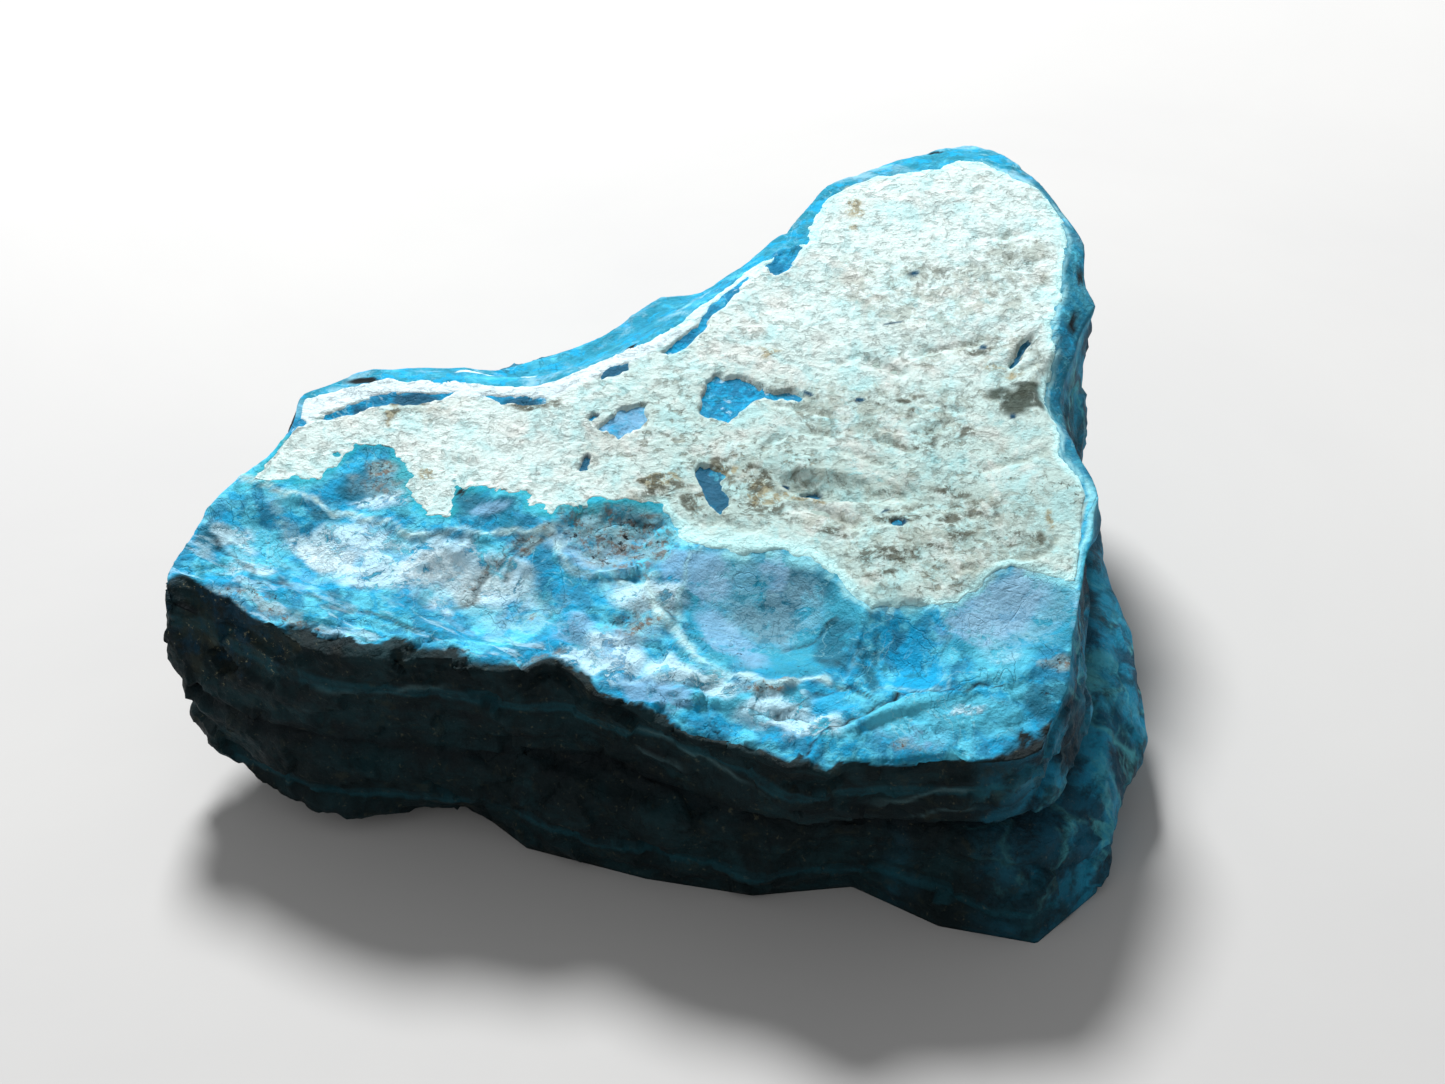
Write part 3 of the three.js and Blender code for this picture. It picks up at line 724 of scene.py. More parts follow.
@dataclass(frozen=True)
class UpperFace:
    """The upper face: a sheet over four lines from left to right, with hollows, plates and the crust."""

    level: float = 20.3
    rise_x: float = 0.02
    rise_y: float = 0.16
    swell: float = 0.45
    swell_size: float = 19.0
    relief: float = 0.15
    relief_size: float = 3.7
    step: float = 0.9
    plate_edge: float = 0.3
    plate_step: float = 0.3
    plate_ramp: float = 4.0
    under_crust: float = 0.26
    window_depth: float = 0.42
    edge_step: float = 0.03
    feather: float = 1.4
    apron: float = 4.5
    opening: float = 0.4
    coarse_shift: float = 0.22
    coarse_size: float = 1.1
    fine_shift: float = 0.14
    fine_size: float = 0.42
    ragged: float = 1.1
    groove_bend: float = 0.5
    rim_reach: float = 0.8
    rim_shallow: float = 0.7
    left_ends: tuple[float, ...] = (0.0, 0.42, 0.86, 1.0)
    right_ends: tuple[float, ...] = (0.0, 0.22, 0.92, 1.0)

    def place(self, row: Array, share: Array) -> Array:
        """The place of rows and shares from left to right, seen from above.

        Each strip is spread straight between its two lines. The ends of the rows are pulled onto the brow,
        and the rest of each row follows with the cube of its nearness to that end.

        Args:
            row: 0 to 1 over the ledge, 1 to 2 over the crust, 2 to 3 over the bevel.
            share: 0 at the left to 1 at the right.

        Returns:
            (n, 2) places.
        """
        borders = (BROW_FRONT, CRUST_FRONT, CRUST_BACK, BROW_BACK)
        strip = np.minimum(np.floor(row), 2).astype(int)
        way = (row - strip)[:, None]

        def across(at: Array) -> Array:
            """Places between the two lines of each row's strip.

            Args:
                at: shares along the lines.

            Returns:
                (n, 2) places.
            """
            spots = np.stack([line.along(at) for line in borders])
            each = np.arange(len(row))
            return spots[strip, each] * (1.0 - way) + spots[strip + 1, each] * way

        knots = np.arange(len(borders))
        spots = across(share)
        pull_left = BROW_LEFT.along(np.interp(row, knots, self.left_ends)) - across(np.zeros_like(share))
        pull_right = BROW_RIGHT.along(np.interp(row, knots, self.right_ends)) - across(np.ones_like(share))
        return spots + pull_left * (1.0 - share[:, None]) ** 3 + pull_right * share[:, None] ** 3

    def crust_level(self, x: Array, y: Array) -> Array:
        """Height of the crust's own face, a plane with a gentle swell.

        Args:
            x: the places' x.
            y: the places' y.

        Returns:
            Heights in millimetres.
        """
        swell = self.swell * noise(x / self.swell_size + 3.3, y / self.swell_size + 1.7, 0.5)
        return self.level + self.rise_x * x + self.rise_y * y + swell

    def fall_slope(self, direction: Array) -> Array:
        """How steeply the blue stone falls away outside the crust.

        Args:
            direction: angles from the heart in radians.

        Returns:
            Slopes.
        """
        angles, slopes = zip(*sorted(FALLS))
        return np.interp(np.degrees(direction), angles, slopes, period=360.0)

    def crust_depth(self, x: Array, y: Array) -> tuple[Array, Array]:
        """How far inside the crust's torn border, and outside its windows, places lie.

        Args:
            x: the places' x.
            y: the places' y.

        Returns:
            Distances inside the border and outside the windows, both above 0 where there is crust.
        """
        # The front of the border is torn more and more toward its left end.
        ragged = 1.0 + self.ragged * ease((2.0 - x) / 8.0) * ease(1.5 - y)
        shift_x, shift_y = (
            self.coarse_shift * noise(x / self.coarse_size, y / self.coarse_size, coarse_seed)
            + self.fine_shift * noise(x / self.fine_size, y / self.fine_size, fine_seed)
            for coarse_seed, fine_seed in ((3.1, 8.4), (6.7, 1.9))
        )
        border = CRUST_BORDER.depth(x + ragged * shift_x, y + ragged * shift_y)
        window = any_of([window.depth(x + shift_x, y + shift_y) for window in WINDOWS.values()])
        return border, -window

    def thickness(self, x: Array, y: Array, border: Array, window: Array) -> Array:
        """How far the blue stone lies under the level of the crust's face.

        Args:
            x: the places' x.
            y: the places' y.
            border: distances inside the crust's border.
            window: distances outside its windows.

        Returns:
            Depths: almost none at the crust's torn edge, little under it, more in its windows, and the
            whole step well outside it.
        """
        under = self.edge_step + (self.under_crust - self.edge_step) * ease(border / self.feather)
        apron = (self.step - self.edge_step) * ease(-border / self.apron)
        shallow = ease(2.0 - RIM_BAND.distance(x, y) / self.rim_reach)
        opened = (self.window_depth - self.under_crust) * ease(-window / self.opening)
        return (under + opened) * (1.0 - self.rim_shallow * shallow) + apron

    def body_height(self, x: Array, y: Array, border: Array, window: Array) -> Array:
        """Height of the blue stone's upper face, bare of crust.

        Args:
            x: the places' x.
            y: the places' y.
            border: distances inside the crust's border.
            window: distances outside its windows.

        Returns:
            Heights in millimetres.
        """
        outline = Outline(CRUST_FRONT.points + CRUST_RIGHT + CRUST_BACK.points[::-1])
        outside = np.maximum(0.0, -outline.depth(x, y))
        fallen = self.fall_slope(HEART.direction(x, y)) * outside
        relief = self.relief * noise(x / self.relief_size, y / self.relief_size, 2.2)
        scooped = sum(scoop.depth * scoop.share(x, y) for scoop in SCOOPS.values())
        plated = 0.0
        for plate in PLATES.values():
            depth = plate.outline.depth(x, y)
            sharp = ease(0.5 + depth / self.plate_edge)
            gradual = ease(depth / self.plate_ramp)
            plated = plated + plate.height * (self.plate_step * sharp + (1.0 - self.plate_step) * gradual)
        bent_x = x + self.groove_bend * layered(x / 1.4, y / 1.2, 8.0)
        bent_y = y + self.groove_bend * layered(x / 1.4, y / 1.2, 3.0)
        grooved = sum(depth * line.stroke(bent_x, bent_y, width) for line, width, depth in GROOVES)
        plain = self.crust_level(x, y) + relief - fallen - scooped + plated
        return plain - self.thickness(x, y, border, window) - grooved * ease(border / 0.5)


@dataclass(frozen=True)
class Wall:
    """The wall: from the brow past the pale bed, the open seam and the belly to the foot."""

    knots: tuple[float, ...] = (0.0, 0.27, 0.5, 0.76, 1.0)
    seam_cut: float = 1.5
    seam_half_height: float = 0.65
    layer_thickness: float = 2.3
    layer_jut: float = 0.45
    layer_softness: float = 0.25
    layer_margin: float = 0.12
    coarse: float = 0.7
    coarse_size: float = 8.0
    coarse_seed: float = 2.5
    fine: float = 0.35
    fine_size: float = 3.0
    fine_seed: float = 9.1
    chip_border: float = 0.35

    def layer_offset(self, depth: Array, direction: Array) -> Array:
        """How far the thinner bedding layers stand out.

        Args:
            depth: depths below the crust's face.
            direction: angles from the heart.

        Returns:
            Distances outward.
        """
        c, s = np.cos(direction), np.sin(direction)
        level = (depth + noise(2.0 * c + 5.0, 2.0 * s, 0.3)) / self.layer_thickness
        layer = np.floor(level)

        def jut(index: Array) -> Array:
            """How far layers stand out, from -1 to 1.

            Args:
                index: the layers' numbers.

            Returns:
                Shares of the full distance.
            """
            return noise(3.0 * c + 7.1 * index, 3.0 * s, 1.3 * index)

        blend = ease((level - layer - 1.0 + self.layer_softness) / self.layer_softness)
        return self.layer_jut * (jut(layer) * (1.0 - blend) + jut(layer + 1.0) * blend)

    def points(self, share: Array, brow: Array, face: UpperFace) -> Array:
        """Points of the wall, before it is weathered and chipped.

        Args:
            share: shares of the way down.
            brow: (n, 3) points of the brow above them.
            face: the upper face, whose plane the bedding follows.

        Returns:
            (n, 3) points.
        """
        direction = HEART.direction(brow[:, 0], brow[:, 1])
        top = (np.hypot(brow[:, 0] - HEART.x, brow[:, 1] - HEART.y), brow[:, 2])
        levels = [top] + [ring.crossing(direction) for ring in (BED, SEAM_LINE, BELLY, FOOT)]
        distances = np.stack([distance for distance, _ in levels])
        heights = np.stack([height for _, height in levels])
        knots = np.array(self.knots)
        under = np.clip(np.searchsorted(knots, share, side="left"), 1, len(knots) - 1)
        way = (share - knots[under - 1]) / (knots[under] - knots[under - 1])
        quarter = way * math.pi / 2.0
        bulge = np.select([under == 2, under == 3], [1.0 - np.cos(quarter), np.sin(quarter)], way)
        each = np.arange(len(share))
        distance = distances[under - 1, each] * (1.0 - bulge) + distances[under, each] * bulge
        height = heights[under - 1, each] * (1.0 - way) + heights[under, each] * way
        plain = HEART.point(direction, distance, height)
        clear = ease(share / self.layer_margin) * ease((1.0 - share) / self.layer_margin)
        depth = face.crust_level(plain[:, 0], plain[:, 1]) - height
        strength = 0.8 + 0.4 * noise(1.6 * np.cos(direction), 1.6 * np.sin(direction), 4.2)
        cut = self.seam_cut * strength * bell(height - heights[2], self.seam_half_height)
        return HEART.point(direction, distance + clear * self.layer_offset(depth, direction) - cut, height)

    def weathered(self, points: Array, amount: Array) -> Array:
        """Weathers points in or out, level with the ground and away from the heart.

        Args:
            points: (n, 3) points.
            amount: shares of the full weathering.

        Returns:
            (n, 3) points.
        """
        x, y, z = points.T
        size, small, shift, small_shift = self.coarse_size, self.fine_size, self.coarse_seed, self.fine_seed
        ridged = 0.5 - 2.0 * np.abs(noise(x / size + shift, y / size, z / size + shift))
        finer = self.fine * noise(x / small + small_shift, y / small, z / small + small_shift)
        push = amount * (self.coarse * ridged + finer)
        direction = HEART.direction(x, y)
        return points + np.stack([push * np.cos(direction), push * np.sin(direction), 0.0 * push], axis=-1)

    def chipped(self, points: Array) -> tuple[Array, Masks]:
        """Moves points that lie beyond a chip's plane straight back onto it.

        Args:
            points: (n, 3) points.

        Returns:
            (n, 3) points, and by chip how far each point was moved.
        """
        moved = {}
        for name, chip in CHIPS.items():
            away = points - np.array(chip.at)
            within = ease((chip.radius - np.linalg.norm(away, axis=1)) / (self.chip_border * chip.radius))
            moved[name] = within * np.maximum(0.0, away @ chip.normal)
            points = points - moved[name][:, None] * chip.normal
        return points, moved


# Meshes ------------------------------------------------------


def grid_quads(numbers: Array) -> Array:
    """The four-sided faces between neighbouring points of a grid.

    Args:
        numbers: (columns, rows) grid of point numbers, x by column and y by row.

    Returns:
        (n, 4) faces that face up.
    """
    low, high = numbers[:, :-1], numbers[:, 1:]
    return np.stack([low[:-1], low[1:], high[1:], high[:-1]], axis=-1).reshape(-1, 4)


def band_quads(loops: Array) -> Array:
    """The faces between closed loops of points, one above the other.

    Args:
        loops: (loops, points) numbers, anticlockwise from above and from the top down.

    Returns:
        (n, 4) faces that face outward.
    """
    ahead = np.roll(loops, -1, axis=1)
    return np.stack([loops[:-1], loops[1:], ahead[1:], ahead[:-1]], axis=-1).reshape(-1, 4)


def border_of(numbers: Array) -> Array:
    """The border of a grid, anticlockwise from above.

    Args:
        numbers: (columns, rows) grid.

    Returns:
        Its border's numbers, each once.
    """
    return np.concatenate([numbers[:-1, 0], numbers[-1, :-1], numbers[:0:-1, -1], numbers[0, :0:-1]])


def point_normals(points: Array, quads: Array) -> Array:
    """The mean way that the faces round each point face.

    Args:
        points: (n, 3) points.
        quads: (m, 4) faces.

    Returns:
        (n, 3) unit vectors.
    """
    corners = points[quads]
    facing = np.cross(corners[:, 2] - corners[:, 0], corners[:, 3] - corners[:, 1])
    total = np.zeros_like(points)
    for axis in range(3):
        for corner in range(4):
            total[:, axis] += np.bincount(quads[:, corner], facing[:, axis], len(points))
    return total / np.maximum(np.linalg.norm(total, axis=1, keepdims=True), TINY)


def joined_masks(parts: list[tuple[int, Masks]]) -> Masks:
    """Joins the masks of a mesh's parts; a mask that a part doesn't have is 0 there.

    Args:
        parts: the number of points and the masks of each part.

    Returns:
        By name, values for all points.
    """
    names = dict.fromkeys(name for _, masks in parts for name in masks)
    return {
        name: np.concatenate([masks.get(name, np.zeros(count)) for count, masks in parts]) for name in names
    }


@dataclass(frozen=True)
class PieceMesh:
    """A closed mesh in millimetres, with named values at its points for its finish."""

    name: str
    points: Array
    faces: list[list[int]]
    masks: Masks

    def make(self, material: bpy.types.Material) -> bpy.types.Object:
        """Makes the mesh as an object of the scene, in metres.

        Args:
            material: its finish.

        Returns:
            The object, riding on the stone's body and standing for its node.
        """
        mesh = bpy.data.meshes.new(self.name)
        mesh.from_pydata((self.points * MM).tolist(), [], self.faces)
        mesh.shade_smooth()
        for name, values in self.masks.items():
            layer = mesh.attributes.new(name, "FLOAT", "POINT")
            layer.data.foreach_set("value", np.clip(values, 0.0, 1.0).astype(np.float32))
        mesh.materials.append(material)
        mesh.validate()
        piece = bpy.data.objects.new(self.name, mesh)
        bpy.context.scene.collection.objects.link(piece)
        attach(piece, BODY)
        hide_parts(NODE)
        triangles = sum(len(face) - 2 for face in self.faces)
        log.info("%s: %d triangles", self.name, triangles)
        return piece


# The blue stone ----------------------------------------------

# Folds, broken flats, cracks and crests of the ledge.
FOLD = Line((
    (-28.6, -3.9), (-26.9, -4.9), (-22.7, -6.5), (-18.8, -7.7), (-16, -9.4), (-13.3, -9), (-10, -8.9),
    (-7, -9.1),
))
FOLD_PLATE = Outline(FOLD.points + ((-6.4, -7.6), (-6.5, -3.0), (-25.0, 0.0)))
RUSTY_PATCH = Outline(((-6.9, -7), (-4.1, -6.9), (0.5, -7.6), (1.7, -10.2), (0.8, -11.6), (-4.6, -11.2)))
SHELL = Outline((
    (1.9, -11.2), (4.2, -10.9), (8.5, -10.9), (10, -11.2), (11.6, -12.8), (12.9, -15.2), (13, -17.5),
    (11.4, -19.9), (8.8, -20.8), (5.6, -20.4), (3.5, -19.4), (1.9, -17.3), (1.1, -14.2),
))
SHELL_MIDDLE = (7.2, -15.4)
DEEP_PATCH = Outline((
    (13.2, -15.9), (17.9, -15.7), (18.3, -17.3), (17.9, -19), (17.9, -21.3), (15.8, -21.6), (13.4, -21.6),
    (11.3, -21.4), (12.8, -18.9), (13.6, -17),
))
LAVENDER_FACET = Outline((
    (18.3, -16), (20, -14.9), (21.4, -13.6), (22.6, -12.8), (24.8, -13.2), (26.9, -14.5), (25.9, -17.9),
    (23.5, -18.9), (21.5, -19.6), (18.1, -18.9),
))
SLAB_CRACK = Line(((9.2, -27), (10.2, -25.2), (13.4, -23.3), (15.8, -21.9), (18.9, -21.6), (21.4, -21.4)))
SHORT_CRACK = Line(((13.4, -23.1), (12.5, -21.8), (11.1, -21.5), (9.7, -22.2), (7.5, -23.2)))
SLAB_CREST = Line(((-2.3, -20.7), (-1, -20.2), (0, -19.9)))
SHELL_LIP = Line((
    (-6.9, -10.1), (-5.6, -11.6), (-3.4, -12.2), (-1.2, -12.9), (0.8, -16.6), (2.4, -19), (4.2, -20.5),
    (7.6, -21.2), (10.4, -21),
))
# Valleys between the rounded masses of the ledge, and the thin dark lines that cross it.
VALLEYS = lines(
    ((-7.6, -13.4), (-6.7, -15.6), (-5.3, -17.4), (-4.4, -19.8)),
    ((-4.3, -15), (-2.3, -15.8), (-0.4, -14.5), (1.1, -15.4), (0.4, -17.6), (-1.9, -20.4)),
    ((-1.9, -20.4), (0.6, -20.8), (3.4, -21.4)), ((2.2, -21.6), (3, -22.8), (5.2, -24), (7.6, -24.6)),
)
DARK_LINES = lines(
    ((8, -17.9), (9.6, -17.4), (11.2, -16.4)), ((10.2, -19.2), (11.1, -19.6), (12.4, -20.5)),
    ((-29.9, -8.4), (-28.6, -9.3), (-27.7, -10), (-26.3, -11.6), (-23.4, -12.7)),
    ((-21.6, -14.2), (-18.2, -15.1), (-15, -16.9)), ((13.3, -16.4), (13.9, -17.6), (13.6, -19.4)),
    ((-3.9, -8.4), (-2.2, -8), (-0.4, -8.6)),
    ((-13.5, -13.6), (-12.3, -12.8), (-11.7, -11.9), (-10.4, -10.9), (-9.1, -9.5)),
    ((-10, -11.7), (-9.1, -10.3), (-7.8, -9.7)), ((0.2, -14.4), (0.9, -15.5), (1.5, -16.6)),
    ((-24.6, -11.8), (-23.3, -13), (-21.9, -13.7)),
)
TAN_RIDGE = Line(((-31.7, -12.6), (-29.9, -12.5), (-26.8, -13.1), (-24.4, -14.8), (-21.8, -16.4)))
BROWN_SWIRL = Line(((-12.7, -12.9), (-10.9, -10.8), (-9, -9.4), (-7.4, -9.5)))
FRONT_STREAKS = Line((
    (-31.7, -9.6), (-26.7, -13.2), (-22, -15.4), (-16.3, -17), (-11.4, -18.6), (-7.5, -18.4),
))
# Which way the ledge's streaks run, in degrees, and how far from their line they reach.
STREAK_TURN = -26.0
STREAK_REACH = 2.6
# A corner at the front right of the ledge, painted with the front's shade.
BROW_SHADE_CORNER = Ellipse(25.0, -23.9, 1.9, 1.3, 35)
BROWN_CHIP = Ellipse(7.2, -21.4, 1.9, 0.62, 14)
WHITE_PATCH = Outline(((-14.6, 6.2), (-13.4, 7.3), (-11.4, 7.9), (-9, 7.9), (-10.2, 6.8), (-12.4, 6.1)))

# Where each tone of the ledge lies.
# The whitish veils are partly a whitish film and partly painted sheen.
VEILS_AND_SHEEN = ellipses(
    (-21.6, -9.6, 4.6, 1.8, -18), (-27, -10.8, 2, 0.7, -25), (-17.6, -11.2, 5, 2.2, -15),
    (-11.6, -12, 4.2, 2.2, -10), (-14.2, -11, 4.8, 2, -5), (-18.6, -6.9, 2.6, 1.1, -12),
    (-1.2, -14, 3.4, 1.5, -20), (-3, -18.4, 3, 1.5, -30), (2.2, -20.4, 4.2, 1.5, -14),
    (8.8, -24, 4, 1.5, -15), (-4.5, -19.6, 2.4, 1.6, -40), (22.4, -15.9, 5.4, 3.2, 15),
    (6.5, -14.6, 4.6, 3, -20), (-28.5, -8.2, 1.8, 0.9, -40), (19.6, -23.6, 1.6, 0.7, 20),
)
OCHRES = ellipses(
    (-9.8, -13.9, 4.4, 2.7, -20), (-1.8, -12.9, 3.4, 1.7, -15), (-1.2, -15.8, 3, 2.6, 30),
    (-4.8, -9.6, 3.6, 2), (4.2, -20.7, 2.6, 0.9, -14), (-24.6, -7.7, 3, 0.8, -28),
)
RUSTS = ellipses(
    (-8, -9.7, 2, 0.8, 20), (-8.2, -19, 2.6, 0.8, 10), (-13.4, -18.6, 1.5, 0.6),
    (-0.9, -12.2, 0.9, 0.6, -30), (-8.7, -14.2, 0.5, 0.35), (-19, -3.4, 1.8, 0.7, -10),
    (-1, -16.8, 1.4, 0.6, 20), (-28.6, -13.6, 1.6, 0.5, -12), (14.9, -25.9, 0.4, 0.3),
    (25.3, -19.5, 0.7, 0.4),
)
LAVENDERS = ellipses(
    (2, -13.2, 2.6, 2, -60), (4.4, -17.4, 3.2, 1.6, -40), (21.4, -15.2, 4.4, 2.4, 15),
    (19.4, -17.3, 2.4, 1.6), (-3.2, -18, 2.8, 1.9, -20), (-0.6, -21.6, 3, 1.2, -25),
    (18.4, -23.6, 2.8, 0.9, 10), (16, -25.2, 2.6, 0.8, 5), (-11.1, -7.7, 1.5, 0.6), (-18.6, -7.2, 1.4, 1),
    (-4.4, -10.2, 2.8, 1.2), (8.4, -12.2, 2.8, 1.1, -15), (-5.8, -16.2, 1.8, 1.4),
)
SHADES = ellipses(
    (6.4, -15.4, 2.9, 1.7, -10), (9.2, -14.2, 2.6, 1.6, -20), (11.2, -18.6, 2, 2.4),
    (13.4, -20.4, 1.2, 1.9, 10), (1.1, -15, 0.8, 1.8, -20), (-7.6, -10.3, 1.9, 0.9, 15),
    (-29.8, -8.2, 1.4, 1.8, -30), (-18.2, -3.8, 2.6, 1.5), (-22.8, -7, 1.4, 0.5, -20), (-2.4, -7.3, 3, 0.9),
    (-2.3, -16, 1.6, 0.7, -40), (-12.5, -6.5, 1.2, 1), (3.2, -21.9, 2, 0.7, -20), (24.8, -21.8, 2, 1.2, 30),
    (-11.2, -7.3, 2.8, 1.1), (-19, -5.2, 2.4, 1.6, 10),
)
CLEARS = ellipses(
    (17.8, -23.8, 5.8, 2.2, 8), (-26.4, -10.8, 3.4, 1.3, -25), (6, -22.8, 4.6, 1.4, -14),
    (22, -19.4, 3.2, 1.6, 10),
)
# Spots of the ledge painted brighter where they would lie in shade: painted light.
PAINTED_LIGHTS = ellipses((-13.8, -11.8, 4.2, 1.8, -6), (-22.4, -10, 3.2, 1.1, -18))
STRIP_SHADES = ellipses((-16.7, 2.5, 2, 0.7, 3), (-9.5, 2.2, 1.8, 0.6, 3), (-20.6, 1.6, 0.8, 0.4, 20))
# Dark pools of painted shade on the right wall, the largest under its rim, and pale ridges: x is the length
# along it, at this distance from the heart, and y is the height.
WALL_REACH = 26.0
WALL_SHADE_POOLS = ellipses(
    (-7.6, 14.6, 3, 2.6), (-14.6, 12.4, 2.2, 3.6), (-1, 13.6, 1.8, 3.2), (-10.4, 5, 1.6, 3),
    (4.2, 14.6, 2, 2.6), (-3.4, 6.4, 1.8, 2.4),
)
WALL_RIDGES = lines(
    ((-10.4, 17), (-9.2, 13.4), (-9.8, 9.6), (-8.4, 4.6)), ((-4.8, 17.6), (-3.6, 13), (-4.4, 8.6)),
    ((-6.8, 9.4), (-6, 6), (-7, 2.6)), ((1.8, 17.6), (2.4, 13.6), (1.4, 10.6)),
)
SPECKLED = ellipses(
    (3.9, -17.9, 2.4, 1.2, -40), (-17.6, -4.4, 2.6, 1.9), (0.9, -20.4, 2.8, 1, -10),
    (-2.3, -16, 1.8, 0.9, -40), (-12.6, -6.4, 1.1, 1), (7.4, -19.9, 2, 0.7, -15), (-3.4, -9, 3.8, 1.8),
    (-26.4, -13.4, 5, 0.9, -14), (-8, -10.2, 2, 0.9, 15), (25, -21.2, 1.2, 0.8),
    (-20.8, -15.2, 4, 0.8, -20),
)
DEEPS = ellipses(
    (-26, -12.2, 5, 1.3, -22), (-21.4, -7.3, 2.6, 0.9, -20), (-19.6, -4.4, 3, 2.3),
    (-13.4, -15.2, 5, 1, -12), (-6.2, -17.6, 1.6, 3, 20), (9.4, -22.9, 5, 1, -10),
    (9, -12.6, 3.4, 1.6, -15), (11.4, -19.4, 1.6, 2.4), (-30.5, -10.8, 1.6, 3), (-5.2, -12.6, 0.9, 2.2, 10),
    (-2.2, -22.2, 1.6, 0.7, -25), (1.6, -24, 1.2, 0.6, -20), (-22.5, -11.8, 2.2, 0.9, -20),
    (-12.7, -10.6, 1.2, 0.7), (22.6, -19.6, 2.8, 0.9, 15),
)
BLACKS = ellipses(
    (-31.6, -14.2, 1.1, 0.8), (-20.4, 4.5, 1.5, 0.5, -12), (-2.4, 7.7, 0.75, 0.2, 24),
    (29.4, 14.4, 0.7, 0.9), (28.6, 9.6, 0.6, 1), (-13.4, -5.8, 0.35, 0.45), (19.6, 27.2, 0.8, 0.4),
)

# How the ledge's fine form and the borders of its tones wander.
RELIEF_WANDER = Wander(0.35, 1.3, 0.12, 0.4, (2, 6, 5, 8))
BROAD_WANDER = Wander(0.9, 2.4, 0.35, 0.9, (7, 2, 9, 5))
NEAR_WANDER = Wander(0.3, 1.2, 0.12, 0.4, (7, 2, 9, 5))


def streak_mask(x: Array, y: Array) -> Array:
    """Where the ledge is drawn out into streaks, along the left half of its brow.

    Args:
        x: the places' x.
        y: the places' y.

    Returns:
        Values from 0 to 1.
    """
    return FRONT_STREAKS.stroke(x, y, STREAK_REACH)


@dataclass(frozen=True)
class Ledge:
    """Fine form of the bare blue stone: folds, flakes, shell ripples, streaks, valleys and cracks."""

    bare_edge: float = 0.5
    fold_step: float = 0.12
    fold_height: float = 0.16
    fold_width: float = 0.2
    shell_drop: float = 0.13
    ripple: float = 0.04
    ripple_waves: float = 3.4
    ripple_squash: float = 1.25
    ripple_bend: float = 0.9
    lip_height: float = 0.3
    lip_width: float = 0.35
    streak: float = 0.1
    fine_streak: float = 0.06
    flake: float = 0.07
    broken_flake: float = 0.4
    small_flake: float = 0.035
    broken_small_flake: float = 0.06
    valley_depth: float = 0.34
    valley_width: float = 0.5
    line_depth: float = 0.12
    line_width: float = 0.16
    roughness: float = 0.16
    wear: float = 0.08
    pleat: float = 0.07
    crack_depth: float = 0.3
    crack_width: float = 0.2
    short_crack_depth: float = 0.2
    short_crack_width: float = 0.16
    chip_height: float = 0.25
    patch_rim_depth: float = 0.14
    patch_rim_width: float = 0.25
    broken: tuple[tuple[float, Ellipse], ...] = (
        (1.0, Ellipse(4, -23, 9, 3.4, -12)), (0.8, Ellipse(-1, -15.5, 5.5, 4.5, -20)),
        (0.8, Ellipse(-18, -17.6, 12, 1.4, -10)), (0.5, Ellipse(17, -24, 8, 2.6, 12)),
    )

    def relief(self, x: Array, y: Array, crust_depth: Array) -> Array:
        """The whole of the fine form.

        Args:
            x: the places' x.
            y: the places' y.
            crust_depth: distances inside the crust, below 0 where the stone is bare.

        Returns:
            Heights to add, in millimetres.
        """
        near = RELIEF_WANDER.moved(x, y)
        patchy = 0.5 + 0.5 * noise(x / 2.1, y / 2.1, 3.3)
        shell = ease(SHELL.depth(*near) / (0.4 + 2.2 * ease((-15.5 - y) / 3.0)))
        smooth = any_of([shell, LAVENDER_FACET.mask(*near, 0.8), DEEP_PATCH.mask(*near, 0.4)])
        fold = self.fold_step * FOLD_PLATE.mask(*near, 0.4)
        fold = fold + self.fold_height * FOLD.stroke(*near, self.fold_width)
        ring = np.hypot(x - SHELL_MIDDLE[0], self.ripple_squash * (y - SHELL_MIDDLE[1]))
        ring = ring + self.ripple_bend * noise(x / 3.0, y / 3.0, 4.0)
        ripples = self.ripple * shell * np.sin(ring * self.ripple_waves) * patchy - self.shell_drop * shell
        lip = self.lip_height * patchy * SHELL_LIP.stroke(*near, self.lip_width)
        rough = self.roughness * RUSTY_PATCH.mask(*near, 1.2) * layered(x, y / 0.7, 6.0, 3, 0.6)
        worn = self.wear * (1.0 - 0.5 * smooth) * layered(x / 2.2, y / 1.5, 1.0, 4, 0.62)
        pleats = self.pleat * DEEP_PATCH.mask(x, y, 0.8) * noise(x / 0.55, y / 2.6, 3.0)
        chip = self.chip_height * BROWN_CHIP.mask(x, y) * (0.6 + noise(x / 0.5, y / 0.4, 2.0))
        raised = fold + ripples + lip + self.streaks(x, y) + rough + worn + pleats + chip
        flaky = self.flakes(x, y) * (1.0 - 0.8 * smooth)
        return (1.0 - ease(crust_depth / self.bare_edge)) * (raised + flaky - self.cuts(near, patchy))

    def streaks(self, x: Array, y: Array) -> Array:
        """Streaks drawn out along the brow.

        Args:
            x: the places' x.
            y: the places' y.

        Returns:
            Heights in millimetres.
        """
        along, across = turned(x, y, STREAK_TURN)
        bent = across / 0.8 + 0.8 * noise(x / 3.0, y / 3.0, 1.0)
        drawn = 1.0 - 2.0 * np.abs(noise(along / 3.5, bent, 5.0))
        finer = noise(along / 1.2, across / 0.35, 2.0)
        return (self.streak * drawn + self.fine_streak * finer) * streak_mask(x, y)

    def flakes(self, x: Array, y: Array) -> Array:
        """Broken flats in two sizes, which stand out most where the ledge is flaky.

        Args:
            x: the places' x.
            y: the places' y.

        Returns:
            Heights in millimetres.
        """
        level = np.full_like(x, 0.5)
        large = facets(np.stack([x / 3.0, y / 1.9, level], axis=1), 3.0)
        small = facets(np.stack([x / 0.9, y / 0.7, level], axis=1), 11.0)
        patches = [share * spot.mask(x, y) for share, spot in self.broken]
        flaky = any_of(patches + [0.7 * RUSTY_PATCH.mask(x, y, 1.0)])
        height = (self.flake + self.broken_flake * flaky) * large
        return height + (self.small_flake + self.broken_small_flake * flaky) * small

